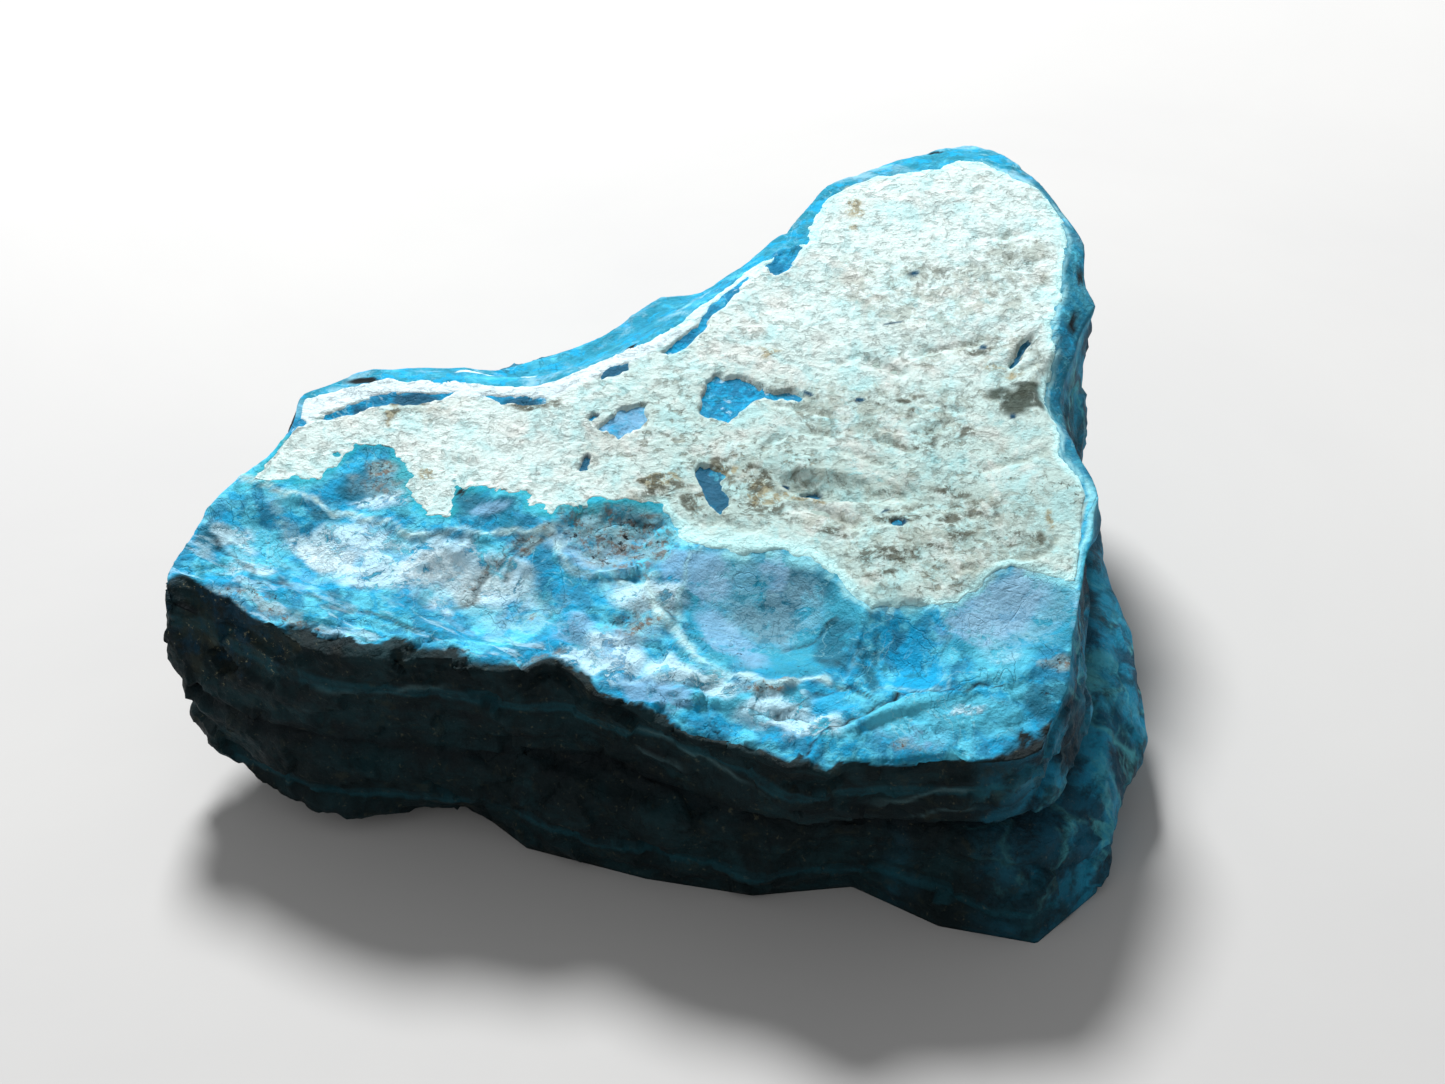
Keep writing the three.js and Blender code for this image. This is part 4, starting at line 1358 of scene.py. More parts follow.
    def cuts(self, near: Places, patchy: Array) -> Array:
        """Valleys, fine lines, cracks and the sunk rim of the deep blue patch.

        Args:
            near: the places' wandering x and y.
            patchy: how strong the valleys and lines are, from 0 to 1.

        Returns:
            Depths in millimetres.
        """
        valleys = sum(self.valley_depth * line.stroke(*near, self.valley_width) for line in VALLEYS)
        fine = sum(self.line_depth * line.stroke(*near, self.line_width) for line in DARK_LINES)
        cracks = self.crack_depth * SLAB_CRACK.stroke(*near, self.crack_width)
        cracks = cracks + self.short_crack_depth * SHORT_CRACK.stroke(*near, self.short_crack_width)
        rim = self.patch_rim_depth * bell(DEEP_PATCH.depth(*near), self.patch_rim_width)
        return (valleys + fine) * (0.5 + 0.7 * patchy) + cracks + rim


@dataclass(frozen=True)
class BlueStone:
    """The blue body of the stone, from the ledge and bevel down the walls to the underside."""

    columns: int = 280
    ledge_rows: int = 58
    crust_rows: int = 44
    bevel_rows: int = 28
    wall_rows: int = 62
    underside_rings: int = 10
    row_margin: float = 0.5
    share_margin: float = 0.06
    foot_margin: float = 0.15
    hollow: float = 4.0
    hollow_size: float = 9.0
    hollow_threshold: float = 0.02
    hollow_margin: float = 0.1
    wall_break: float = 0.5
    block_size: float = 3.6
    block_height: float = 2.1
    flake_size: float = 1.3
    flake_height: float = 0.9
    flake_share: float = 0.28
    grit_size: float = 0.9
    grit_share: float = 0.2
    rear_break: float = 0.6
    brow_break: float = 0.6
    front_line: float = -8.0
    front_fade: float = 4.0
    whole_brow: float = 0.15
    bare_brow: float = 0.6
    bare_brow_reach: float = 0.1
    facet_edge: float = 0.12
    window_edge: float = 0.25
    ledge_end: float = 1.75
    wall_steps: tuple[float, ...] = (0.0, 0.3, 0.45, 0.6, 1.0)
    wall_depths: tuple[float, ...] = (0.0, 0.3, 0.47, 0.6, 1.0)
    face: UpperFace = UpperFace()
    ledge: Ledge = Ledge()
    wall: Wall = Wall()

    def rows(self) -> Array:
        """The upper face's rows: over the ledge, the crust and the bevel.

        Returns:
            Rows from 0 to 3.
        """
        ledge = np.linspace(0.0, 1.0, self.ledge_rows, endpoint=False)
        crust = np.linspace(1.0, 2.0, self.crust_rows, endpoint=False)
        bevel = np.linspace(2.0, 3.0, self.bevel_rows + 1)
        return np.concatenate([ledge, crust, bevel])

    def edge_amount(self, row: Array, share: Array) -> Array:
        """How fully the upper face is weathered, which it is only near the brow.

        Args:
            row: rows of the upper face.
            share: shares from left to right.

        Returns:
            Values from 0 to 1.
        """
        ends = np.minimum(share, 1.0 - share) / self.share_margin
        sides = np.minimum(row, 3.0 - row) / self.row_margin
        return ease(1.0 - np.minimum(ends, sides))

    def brow_shade_mask(self, x: Array, y: Array) -> Array:
        """Where painted shade from the dark front wall climbs over the brow onto the ledge, in a jagged
        border.

        Args:
            x: the places' x.
            y: the places' y.

        Returns:
            Values from 0 to 1.
        """
        jagged = layered(x / 1.7, y / 1.7, 4.4, 4, 0.62)
        reach = 0.5 + 1.6 * np.maximum(0.0, jagged) + (0.9 + jagged) * bell(x + 20.0, 7.0)
        reach = reach + (0.6 + 1.2 * jagged) * bell(x - 24.0, 2.6)
        return ease(0.5 + (reach - BROW_FRONT.distance(x, y)) / 0.5)

    def rust_mask(self, row: Array, warped: Places, near: Places, patchy: Array) -> Array:
        """Where the ledge is rusty.

        Args:
            row: rows of the upper face.
            warped: the places' widely wandering x and y.
            near: the places' nearly true x and y.
            patchy: how strongly the brow is stained, from 0 to 1.

        Returns:
            Values from 0 to 1.
        """
        return any_of([
            0.9 * RUSTY_PATCH.mask(*warped, 1.4),
            spread(RUSTS, *warped),
            BROWN_CHIP.mask(*near),
            0.6 * Ellipse(-17.8, -4.7, 2.4, 2.3).mask(*warped),
            0.45 * Ellipse(-1.2, -15.8, 2.8, 2.4).mask(*warped),
            0.8 * ease(1.0 - row / 0.05) * patchy,
            0.9 * TAN_RIDGE.stroke(*near, 0.45),
            0.8 * BROWN_SWIRL.stroke(*near, 0.35),
        ])

    def line_masks(self, x: Array, y: Array, border: Array, near: Places, patchy: Array) -> Masks:
        """Where thin lines run over the upper face.

        Args:
            x: the places' x.
            y: the places' y.
            border: distances inside the crust's border.
            near: the places' nearly true x and y.
            patchy: how strong the lines are, from 0 to 1.

        Returns:
            By name, values from 0 to 1.
        """
        return {
            # Pale lines on the crests of folds and lips, partly the stone's own and partly painted
            # highlight.
            "pale_crest_highlight": (0.5 + 0.5 * patchy) * any_of([
                FOLD.stroke(*near, 0.16),
                0.9 * SHELL_LIP.stroke(*near, 0.2),
                0.8 * SLAB_CREST.stroke(*near, 0.16),
            ]),
            "line": any_of([
                0.8 * bell(SHELL.depth(*near), 0.14) * patchy * ease((y + 17.0) / 2.0),
                0.6 * bell(DEEP_PATCH.depth(*near) + 0.1, 0.12) * patchy,
                # A painted glow along the crust's torn edge.
                bell(border + 0.12, 0.16) * ease((x - 0.5) / 2.0),
            ]),
            "dark": any_of([
                # The slab's two cracks are painted dark: painted shade in them.
                SLAB_CRACK.stroke(*near, 0.14), 0.8 * SHORT_CRACK.stroke(*near, 0.12),
                (0.3 + 0.4 * patchy) * strokes(DARK_LINES, *near, 0.17), spread(BLACKS, *near),
            ]),
        }

    def upper_masks(self, x: Array, y: Array, row: Array, border: Array, window: Array) -> Masks:
        """Where the upper face's colours lie.

        Args:
            x: the places' x.
            y: the places' y.
            row: rows of the upper face.
            border: distances inside the crust's border.
            window: distances outside its windows.

        Returns:
            By name, values from 0 to 1.
        """
        warped, near = BROAD_WANDER.moved(x, y), NEAR_WANDER.moved(x, y)
        patchy = ease(0.6 + 1.2 * noise(x / 1.8, y / 1.8, 3.3))
        open_window = ease(1.0 - window / self.window_edge)
        ledge = ease((self.ledge_end - row) / 0.1) * (1.0 - open_window)
        bevel = ease((row - self.ledge_end) / 0.2) * (1.0 - open_window)
        # Painted shade: the dark front's tones are painted up over the brow onto the ledge, and on a corner
        # at the front right.
        brow = np.maximum(self.brow_shade_mask(x, y) * ledge, BROW_SHADE_CORNER.mask(*near))
        dark_floor, pale_floor = (
            open_window * any_of([ease(1.0 + WINDOWS[name].depth(x, y) / 0.4) for name in names])
            for names in (SHADED_WINDOWS, (PALE_WINDOW,))
        )
        right_end = ease((x - 25.0) / 1.5)
        drawn = self.line_masks(x, y, border, near, patchy)
        spots = {
            "lavender": LAVENDERS, "speck": SPECKLED, "ochre": OCHRES, "painted_light": PAINTED_LIGHTS, "clear": CLEARS,
        }
        # A painted glow along the crust's edge at the right.
        edge_glow_line = 0.8 * bell(border + 0.1, 0.14) * ease((x - 22.0) / 2.0)
        torn_glow = 0.75 * patchy * bell(border + 0.2, 0.2)
        return {name: ledge * spread(places, *warped) for name, places in spots.items()} | {
            "veil_and_sheen": ledge * spread(VEILS_AND_SHEEN, *warped) * (1.0 - 0.9 * DEEP_PATCH.mask(*near, 0.5)),
            "shade": np.maximum(ledge, right_end) * any_of([
                spread(SHADES, *warped), 0.8 * right_end * ease((y + 8.0) / 4.0),
                0.6 * patchy * strokes(VALLEYS, x, y, 0.5),
            ]),
            "facet": ledge * any_of([SHELL.mask(*near, 0.7), LAVENDER_FACET.mask(*near, 0.7)]),
            "deep": any_of([DEEP_PATCH.mask(*near, 0.2), 0.75 * spread(DEEPS, *warped), open_window]),
            "rust": ledge * self.rust_mask(row, warped, near, patchy),
            "rim": bell(np.minimum(border, 0.0), 0.45) * ease((2.0 - x) / 3.0) * ledge,
            "line": np.maximum(ledge * drawn["line"], edge_glow_line),
            "dark": drawn["dark"],
            "pale_crest_highlight": ledge * drawn["pale_crest_highlight"],
            "bevel": bevel,
            "window": open_window,
            "white patch": WHITE_PATCH.mask(*near, 0.2) * bevel,
            "pit_shade": np.maximum(dark_floor, open_window * spread(STRIP_SHADES, *near)),
            "pale floor": pale_floor,
            "glow": torn_glow * ease((x + 1.0) / 3.0) * ease((-3.0 - y) / 3.0),
            "covered": ease((np.minimum(border, window) - 0.35) / 0.2),
            "streak": ledge * streak_mask(x, y),
            # The brow's painted shade takes the wall's tones and the front's.
            "wall": brow,
            "front": brow,
        }

    def wall_masks(self, points: Array) -> Masks:
        """Where the walls' colours lie.

        Args:
            points: (n, 3) points of the walls.

        Returns:
            By name, values from 0 to 1.
        """
        x, y, z = points.T
        direction = HEART.direction(x, y)
        waver = 0.6 * noise(x / 3.0, y / 3.0, 3.0) + 0.2 * noise(x / 0.9, y / 0.9, z / 0.9)
        below_bed = z - BED.crossing(direction)[1] - waver
        patchy = ease(0.3 + 1.6 * noise(x / 3.0, y / 3.0, z / 2.0))
        along = WALL_REACH * direction + waver
        return {
            "wall": np.ones_like(x),
            # Painted shade: walls turned to the front and left, away from the key light, are painted darker.
            "front": ease(0.5 - 1.3 * np.sin(direction) - 0.9 * np.cos(direction) + 0.3 * waver),
            "bed": any_of([bell(below_bed, 0.16), 0.7 * bell(below_bed + 1.7, 0.12)]) * patchy,
            # Painted shade in the open seam.
            "seam_shade": bell(z - SEAM_LINE.crossing(direction)[1], 0.6),
            "shade_pool": spread(WALL_SHADE_POOLS, along, z + waver),
            "ridge": patchy * strokes(WALL_RIDGES, along, z, 0.2),
        }

    def upper(self, row: Array, share: Array) -> tuple[Array, Array, Masks]:
        """The upper face of the blue stone.

        Args:
            row: rows of the upper face.
            share: shares from left to right.

        Returns:
            (n, 3) points, (n, 3) points before weathering, and their masks.
        """
        x, y = self.face.place(row, share).T
        border, window = self.face.crust_depth(x, y)
        height = self.face.body_height(x, y, border, window)
        plain = np.stack([x, y, height], axis=-1)
        shaped = plain.copy()
        shaped[:, 2] += self.ledge.relief(x, y, np.minimum(border, window))
        points, moved = self.wall.chipped(self.wall.weathered(shaped, self.edge_amount(row, share)))
        masks = self.upper_masks(x, y, row, border, window)
        facet = self.facet_mask(moved)
        # The broken-off left tip takes the wall's tones and the front's painted shade.
        masks["wall"] = np.maximum(masks["wall"], facet)
        masks["front"] = np.maximum(masks["front"], facet)
        masks["facet end"] = facet
        return points, plain, masks

    def facet_mask(self, moved: Masks) -> Array:
        """Where the left tip is broken off flat.

        Args:
            moved: by chip, how far each point was moved.

        Returns:
            Values from 0 to 1.
        """
        return ease(moved["left tip top"] / self.facet_edge)

    def underside(self, foot: Array) -> tuple[Array, Array]:
        """The underside: rings that shrink from the foot to its middle, with shallow hollows.

        Args:
            foot: (n, 3) points of the foot, on the ground.

        Returns:
            (rings * n, 3) points from the outer ring inward, and the point in the middle.
        """
        centre = foot.mean(axis=0)
        rings = np.arange(self.underside_rings)[:, None, None] / self.underside_rings
        points = np.concatenate([(foot[None] * (1.0 - rings) + centre * rings).reshape(-1, 3), centre[None]])
        from_edge = np.append(np.repeat(0.5 * rings.ravel(), len(foot)), self.hollow_margin)
        raised = noise(points[:, 0] / self.hollow_size + 11, points[:, 1] / self.hollow_size + 4, 7.5)
        lift = np.maximum(0.0, raised - self.hollow_threshold) * ease(from_edge / self.hollow_margin)
        points[:, 2] = self.hollow * lift
        return points[:-1], points[-1]

    def build(self) -> PieceMesh:
        """Builds the closed mesh of the blue stone.

        Returns:
            The mesh with its masks.
        """
        rows = self.rows()
        shares = np.linspace(0.0, 1.0, self.columns + 1)
        grid_share, grid_row = np.meshgrid(shares, rows, indexing="ij")
        upper, plain, masks = self.upper(grid_row.ravel(), grid_share.ravel())
        numbers = np.arange(len(upper)).reshape(grid_row.shape)
        border = border_of(numbers)
        rim = plain[border]

        steps = np.linspace(0.0, 1.0, self.wall_rows + 1)
        down = np.interp(steps, self.wall_steps, self.wall_depths)[1:-1]
        share = np.repeat(down, len(border))
        wall = self.wall.points(share, np.tile(rim, (len(down), 1)), self.face)
        wall, moved = self.wall.chipped(self.wall.weathered(wall, ease((1.0 - share) / self.foot_margin)))
        wall_masks = self.wall_masks(wall)
        wall_masks["facet end"] = self.facet_mask(moved)
        near_brow = ease(1.0 - share / self.bare_brow_reach) * (1.0 - wall_masks["front"])
        wall_masks["wall"] = wall_masks["wall"] * (1.0 - self.bare_brow * near_brow)

        direction = HEART.direction(rim[:, 0], rim[:, 1])
        foot = HEART.point(direction, FOOT.crossing(direction)[0], np.zeros_like(direction))
        under, centre = self.underside(self.wall.chipped(foot)[0] * np.array([1.0, 1.0, 0.0]))

        points = np.concatenate([upper, wall, under, centre[None]])
        under_masks = self.wall_masks(np.concatenate([under, centre[None]]))
        masks = joined_masks([
            (len(upper), masks), (len(wall), wall_masks), (len(under) + 1, under_masks),
        ])
        wall_numbers = len(upper) + np.arange(len(wall)).reshape(len(down), -1)
        under_numbers = len(upper) + len(wall) + np.arange(len(under)).reshape(self.underside_rings, -1)
        loops = np.concatenate([border[None], wall_numbers, under_numbers])
        quads = np.concatenate([grid_quads(numbers), band_quads(loops)])
        last = under_numbers[-1]
        fan = np.stack([last, np.full_like(last, len(points) - 1), np.roll(last, -1)], axis=-1)

        front = wall_masks["front"]
        at_front = front * ease((self.front_line - wall[:, 1]) / self.front_fade)
        near_front = np.maximum(at_front, ease(share / self.whole_brow))
        amount = np.zeros(len(points))
        amount[:len(upper)] = self.brow_break * masks["wall"][:len(upper)]
        broken = self.rear_break + (1.0 - self.rear_break) * front
        amount[len(upper):len(upper) + len(wall)] = broken * near_front
        points = self.broken(points, quads, amount)
        return PieceMesh("blue_stone", points, quads.tolist() + fan.tolist(), masks)

    def broken(self, points: Array, quads: Array, amount: Array) -> Array:
        """Breaks the surface up into small flats and grit, in and out along its normals.

        Args:
            points: (n, 3) points.
            quads: the four-sided faces.
            amount: shares of the full breaking.

        Returns:
            (n, 3) points.
        """
        normals = point_normals(points, quads)
        x, y, z = points.T
        bedding = z - self.face.rise_y * y
        block, flake, grain = self.block_size, self.flake_size, self.grit_size
        blocks = facets(np.stack([x / block, y / block, bedding / self.block_height], axis=1), 21.0)
        flakes = facets(np.stack([x / flake, y / flake, bedding / self.flake_height], axis=1), 5.0)
        grit = layered(x / grain, y / grain, z / grain, 2)
        uneven = blocks + self.flake_share * flakes + self.grit_share * grit
        push = self.wall_break * uneven * amount * ease(z)
        return points + normals * push[:, None]


# The pale crust ----------------------------------------------

SMOOTH_CRUST = ellipses((24.8, -6.5, 3.6, 7), (24.5, -2, 4, 4), (6.5, -10.6, 5.4, 1.6, -6))
STAINS = ellipses(
    (-1, -6.4, 4.2, 1.2), (5.8, -5.2, 3.2, 2.8, -20), (12, -6, 5, 1.5, -6), (16.5, -12.4, 6.5, 3.6),
    (12, -9.8, 4, 1.6, -12), (24.2, 2, 3.2, 2.2, 12), (21, 6.6, 5, 1.7, 10), (24.2, 4.8, 2.6, 1.8),
    (9.6, 2.4, 2.8, 1), (-17, 1.4, 3.6, 0.9, -5), (-9.6, 1.6, 2.6, 0.8, 4), (18.5, -9.5, 7, 3, 10),
    (24.6, 15.2, 2.4, 3.6, 20), (-16.6, 2.2, 1.2, 0.5), (-9.3, 2.1, 1.2, 0.5), (15, 1, 9, 3.4, -8),
    (18, 12, 9, 4.5, -14), (22, -12, 4.5, 2.2, 20),
)
TANS = ellipses(
    (12.5, 21, 0.8, 1), (13.2, 19.2, 0.5, 0.5), (7.8, 6, 0.45, 0.5), (25.3, -9.4, 0.5, 1.2, 20),
    (6.9, -6.3, 1.4, 1), (4.6, -4.2, 1.6, 0.9, 20), (0.6, -5.2, 2, 0.6, 10), (23.4, 4.2, 1, 0.35, 30),
    (-18.2, 0.8, 0.5, 0.9), (9.2, -7, 1.8, 0.5, -10), (-15.6, -4.6, 0.9, 0.35, 10),
)
FLECKS = ellipses(
    (17.5, 14.1, 0.42, 0.3, 20), (15.8, 9.1, 0.8, 0.16, 12), (9.8, 2.7, 0.5, 0.22, -30),
    (13.3, 1.9, 0.4, 0.3), (21.9, 6.7, 0.35, 0.3), (15.6, -9.2, 0.55, 0.4), (10, -5.8, 0.7, 0.35),
    (23.5, 0, 0.3, 0.25), (-5.2, -3.2, 0.3, 0.8, -20), (-4.6, 0.7, 0.35, 0.3, 30), (-3.1, 5, 0.6, 0.3, 20),
    (-16.8, 2.4, 0.9, 0.2, 5), (-9.4, 2.1, 0.9, 0.25), (14.6, -8.2, 0.5, 0.12, 40), (8.2, -5.2, 0.3, 0.25),
)
GREY_PATCH = Outline((
    (22.3, 1.6), (23.1, 2.6), (24.9, 3), (26.2, 2.8), (25.8, 1.5), (24.7, 0.8), (23.6, 0.1), (22.8, 0.6),
))
# Sharp little creases in the crust, and where dirt has settled in it.
CREASES = lines(
    ((7.5, -6), (9.1, -7.1), (10.7, -8.2), (12.4, -9.4)),
    ((13.6, -5.3), (14.7, -5.5), (15.7, -6.4), (16.5, -7.9)),
    ((13.8, -0.2), (14.9, -0.7), (16.2, -1.1), (17.7, -1.3), (19.1, -0.3)),
    ((9.3, -0.8), (10.4, -1), (11.6, -1.2)), ((8.6, 1.5), (10, 1), (11.4, 0.7)),
    ((14, 6), (15, 5.3), (16.2, 4.5)), ((6.5, -2.6), (7.3, -1.9), (8, -1.4)),
    ((21.4, -4.6), (23.1, -3.9), (25.1, -3.5), (26.4, -3)),
    ((22, -12.6), (23.8, -12.2), (25.1, -11.5), (25.7, -10.4)), ((11.8, -2.6), (13.3, -3.1), (14.5, -3.7)),
    ((14.5, -1.7), (15.8, -2.2), (16.8, -3)), ((18, 1.6), (19.3, 0.9), (20.7, 0.5)),
    ((22.9, 4.8), (24, 5.4), (25.2, 6.6)), ((24.4, 4.1), (26, 5)), ((12, 5.5), (13.3, 6.2)),
    ((17.2, 6.2), (19.6, 6.8), (21.4, 7.1)), ((19.6, -13.1), (20.9, -13.2), (22.2, -12.7)),
)
DIRTS = ellipses(
    (15.7, -9, 1.3, 0.8), (18.8, -8.9, 1.6, 0.9), (19.1, -6, 1.3, 0.7), (13.4, 1.7, 1, 0.5),
    (16.3, 2.1, 1.4, 0.7), (17.6, 0.6, 1.2, 0.6), (21.7, 6.2, 0.9, 0.6), (25.1, 6.6, 1.2, 0.8),
    (6.8, -5.3, 1.6, 1.3), (7.1, -7.5, 1.3, 0.9), (0.5, -5.6, 2.2, 0.8), (-0.4, -6.5, 1.6, 0.9),
    (1.9, -7.4, 1, 0.8), (11.3, -10.6, 1.2, 0.7), (14.2, -12.3, 1.9, 0.9), (16.4, -12, 1.1, 0.8),
    (20.4, -10.3, 1.6, 0.9), (17.7, -11.1, 1.4, 0.7), (13.5, -14, 1.2, 0.7), (18.5, -2, 1.3, 0.6),
    (19.9, -1.1, 0.8, 0.6), (23.6, -10.8, 0.9, 0.9), (4.4, -3.4, 1.2, 0.9), (-16.9, 1.9, 1.9, 0.5, 5),
    (-9.3, 1.8, 1.9, 0.5, 4), (-18.2, 0.4, 0.5, 0.9),
)


@dataclass(frozen=True)
class PaleCrust:
    """The thin chalky crust on the upper face, as a sheet that dips into the blue stone where it ends."""

    columns: int = 336
    crust_cells: int = 238
    bevel_cells: int = 40
    first_row: float = 0.9
    last_row: float = 2.72
    end_margin: float = 0.004
    edge_round: float = 0.35
    window_round: float = 0.16
    sunk_share: float = 0.45
    sink_slope: float = 1.6
    sunk_border: float = 1.0
    border_cells: float = 3.0
    relief_edge: float = 0.5
    inward: float = 0.6
    thinnest: float = 0.06
    skirt: float = 0.9
    middle: Spot3 = (6.0, 0.0, 17.6)
    relief: float = 0.12
    grain_bend: float = 0.8
    grain_lean: float = 0.12
    flake_sharpness: float = 9.0
    flake_step: float = 0.3
    flake_mean: float = 0.7
    flake_share: float = 0.45
    grain_share: float = 1.15
    swell_share: float = 0.9
    smooth_calm: float = 0.75
    rim_calm: float = 0.8
    light_calm: float = 0.3
    crease: float = 0.2
    crease_width: float = 0.28
    crease_waver: float = 0.12
    rim_half_width: float = 0.62
    body: BlueStone = BlueStone()

    def rim_band(self, x: Array, y: Array) -> Array:
        """Where the crust's white back rim lies.

        Args:
            x: the places' x.
            y: the places' y.

        Returns:
            Values from 0 to 1.
        """
        return ease(2.0 - RIM_BAND.distance(x, y) / self.rim_half_width)

    def light(self, x: Array, y: Array) -> Array:
        """Where the crust is whitest and least rough, partly its own colour and partly painted light on the
        side that faces the lamp: toward its left end and its back.

        Args:
            x: the places' x.
            y: the places' y.

        Returns:
            Values from 0 to 1.
        """
        return any_of([ease((4.0 - x) / 14.0), ease((y + 6.0) / 20.0)])

    def fine_relief(self, x: Array, y: Array) -> Array:
        """The crust's flaky face: flat-lying flakes drawn out from left to right, and a few grooves.

        Args:
            x: the places' x.
            y: the places' y.

        Returns:
            Heights in millimetres, 0 on average.
        """
        bend = self.grain_bend * noise(x / 5.0, y / 5.0, 1.0)
        across = y + self.grain_lean * x + bend
        coarse = layered(x / 1.6, across / 1.25, 0.4, 5, 0.62)
        swell = noise(x / 4.6, across / 2.6, 6.6)
        torn = layered(x / 3.2, across / 1.8, 2.7, 4, 0.6)
        first, second = (ease(0.5 + self.flake_sharpness * (torn - step)) for step in (0.0, self.flake_step))
        flakes = first + second - self.flake_mean
        rim = self.rim_band(x, y)
        smooth = self.smooth_calm * spread(SMOOTH_CRUST, x, y)
        rough = (1.0 - smooth) * (1.0 - self.rim_calm * rim) * (1.0 - self.light_calm * self.light(x, y))
        wavering = y + self.crease_waver * coarse
        creased = sum(line.stroke(x, wavering, self.crease_width) for line in CREASES)
        waves = self.swell_share * (1.0 - rim) * swell
        grain = self.grain_share * coarse + self.flake_share * flakes
        return self.relief * (rough * grain + waves) - self.crease * creased

    def masks(self, x: Array, y: Array, border: Array, relief: Array) -> Masks:
        """Where the crust's colours lie.

        Args:
            x: the places' x.
            y: the places' y.
            border: distances inside the crust's border.
            relief: the fine relief.

        Returns:
            By name, values from 0 to 1.
        """
        warped = (
            x + 1.3 * noise(x / 2.2, y / 1.2, 7.0) + 0.4 * noise(x / 0.7, y / 0.5, 2.0),
            y + 0.6 * noise(x / 2.2, y / 1.2, 9.0) + 0.25 * noise(x / 0.7, y / 0.5, 5.0),
        )
        rim, grey = self.rim_band(x, y), GREY_PATCH.mask(*warped, 0.6)
        # Painted shade round the windows' rims goes into the stain mask.
        window_shade = any_of([bell(np.minimum(0.0, window.depth(x, y)), 0.9) for window in WINDOWS.values()])
        edge_width = 0.3 + 0.5 * ease((12.0 - x) / 3.0) * ease((x - 1.0) / 2.0)
        return {
            "stain_and_shade": (1.0 - rim) * any_of([spread(STAINS, *warped), 0.4 * window_shade, 0.9 * grey]),
            "tan": spread(TANS, *warped),
            "dirt_and_shade": spread(DIRTS, *warped),
            "fleck": spread(FLECKS, x, y),
            # hollow: where the fine relief is low, for dirt with painted shade in the hollows.
            "hollow": 0.5 - relief / (2.5 * self.relief),
            # edge: a painted glow along the thin torn edge.
            "edge": ease(0.3 + (x + 1.0) / 3.0) * bell(np.maximum(border - 0.2, 0.0), edge_width),
            "white": rim,
            "smooth": spread(SMOOTH_CRUST, x, y),
            "grey": grey,
            "light": self.light(x, y),
        }

    def build(self) -> PieceMesh:
        """Builds the closed mesh of the crust.

        Returns:
            The mesh with its masks.
        """
        face, wall = self.body.face, self.body.wall
        shares = np.linspace(self.end_margin, 1.0 - self.end_margin, self.columns + 1)
        rows = np.concatenate([
            np.linspace(self.first_row, 2.0, self.crust_cells, endpoint=False),
            np.linspace(2.0, self.last_row, self.bevel_cells + 1),
        ])
        grid_share, grid_row = np.meshgrid(shares, rows, indexing="ij")
        share, row = grid_share.ravel(), grid_row.ravel()
        x, y = face.place(row, share).T
        border, window = face.crust_depth(x, y)
        crust_depth = np.minimum(border, window)
        relief = self.fine_relief(x, y)
        height = face.body_height(x, y, border, window)
        shaped = np.stack([x, y, height + self.body.ledge.relief(x, y, crust_depth)], axis=-1)
        base = wall.chipped(wall.weathered(shaped, self.body.edge_amount(row, share)))[0]

        from_edge = np.minimum(border / self.edge_round, window / self.window_round)
        rise = 1.0 - (1.0 - np.clip(from_edge, 0.0, 1.0)) ** 2
        sink = np.clip(-self.sink_slope * crust_depth, 0.0, self.sunk_share)
        numbers = np.arange(len(x)).reshape(grid_row.shape)
        i, j = np.divmod(np.arange(len(x)), grid_row.shape[1])
        cells = np.minimum(np.minimum(i, self.columns - i), np.minimum(j, grid_row.shape[1] - 1 - j))
        at_border = ease(1.0 - cells / self.border_cells)
        cover = face.thickness(x, y, border, window) * rise + relief * ease(crust_depth / self.relief_edge)
        lift = np.where(crust_depth > 0.0, np.maximum(cover, self.thinnest * rise), 0.0) - sink
        lift = lift * (1.0 - at_border) - self.sunk_border * at_border
        inward = self.inward * np.maximum(0.0, -lift)
        direction = HEART.direction(base[:, 0], base[:, 1])
        top = base + np.stack([-inward * np.cos(direction), -inward * np.sin(direction), lift], axis=-1)

        ends = border_of(numbers)
        skirt = top[ends] - np.array([0.0, 0.0, self.skirt])
        points = np.concatenate([top, skirt, np.array(self.middle)[None]])
        loops = np.stack([ends, len(top) + np.arange(len(ends))])
        fan = np.stack([loops[1], np.full(len(ends), len(points) - 1), np.roll(loops[1], -1)], axis=-1)
        masks = self.masks(x, y, border, relief)
        masks = joined_masks([(len(top), masks), (len(points) - len(top), {})])
        faces = np.concatenate([grid_quads(numbers), band_quads(loops)]).tolist() + fan.tolist()
        return PieceMesh("pale_crust", points, faces, masks)


# Finishes ----------------------------------------------------


@dataclass(frozen=True)
class Tone:
    """A colour as it is seen, from 0 to 255 in red, green and blue."""

    red: int
    green: int
    blue: int

    @property
    def linear(self) -> tuple[float, float, float, float]:
        """The colour as light, with full cover."""
        shares = [value / 255.0 for value in (self.red, self.green, self.blue)]
        light = [s / 12.92 if s <= 0.04045 else ((s + 0.055) / 1.055) ** 2.4 for s in shares]
        return (light[0], light[1], light[2], 1.0)


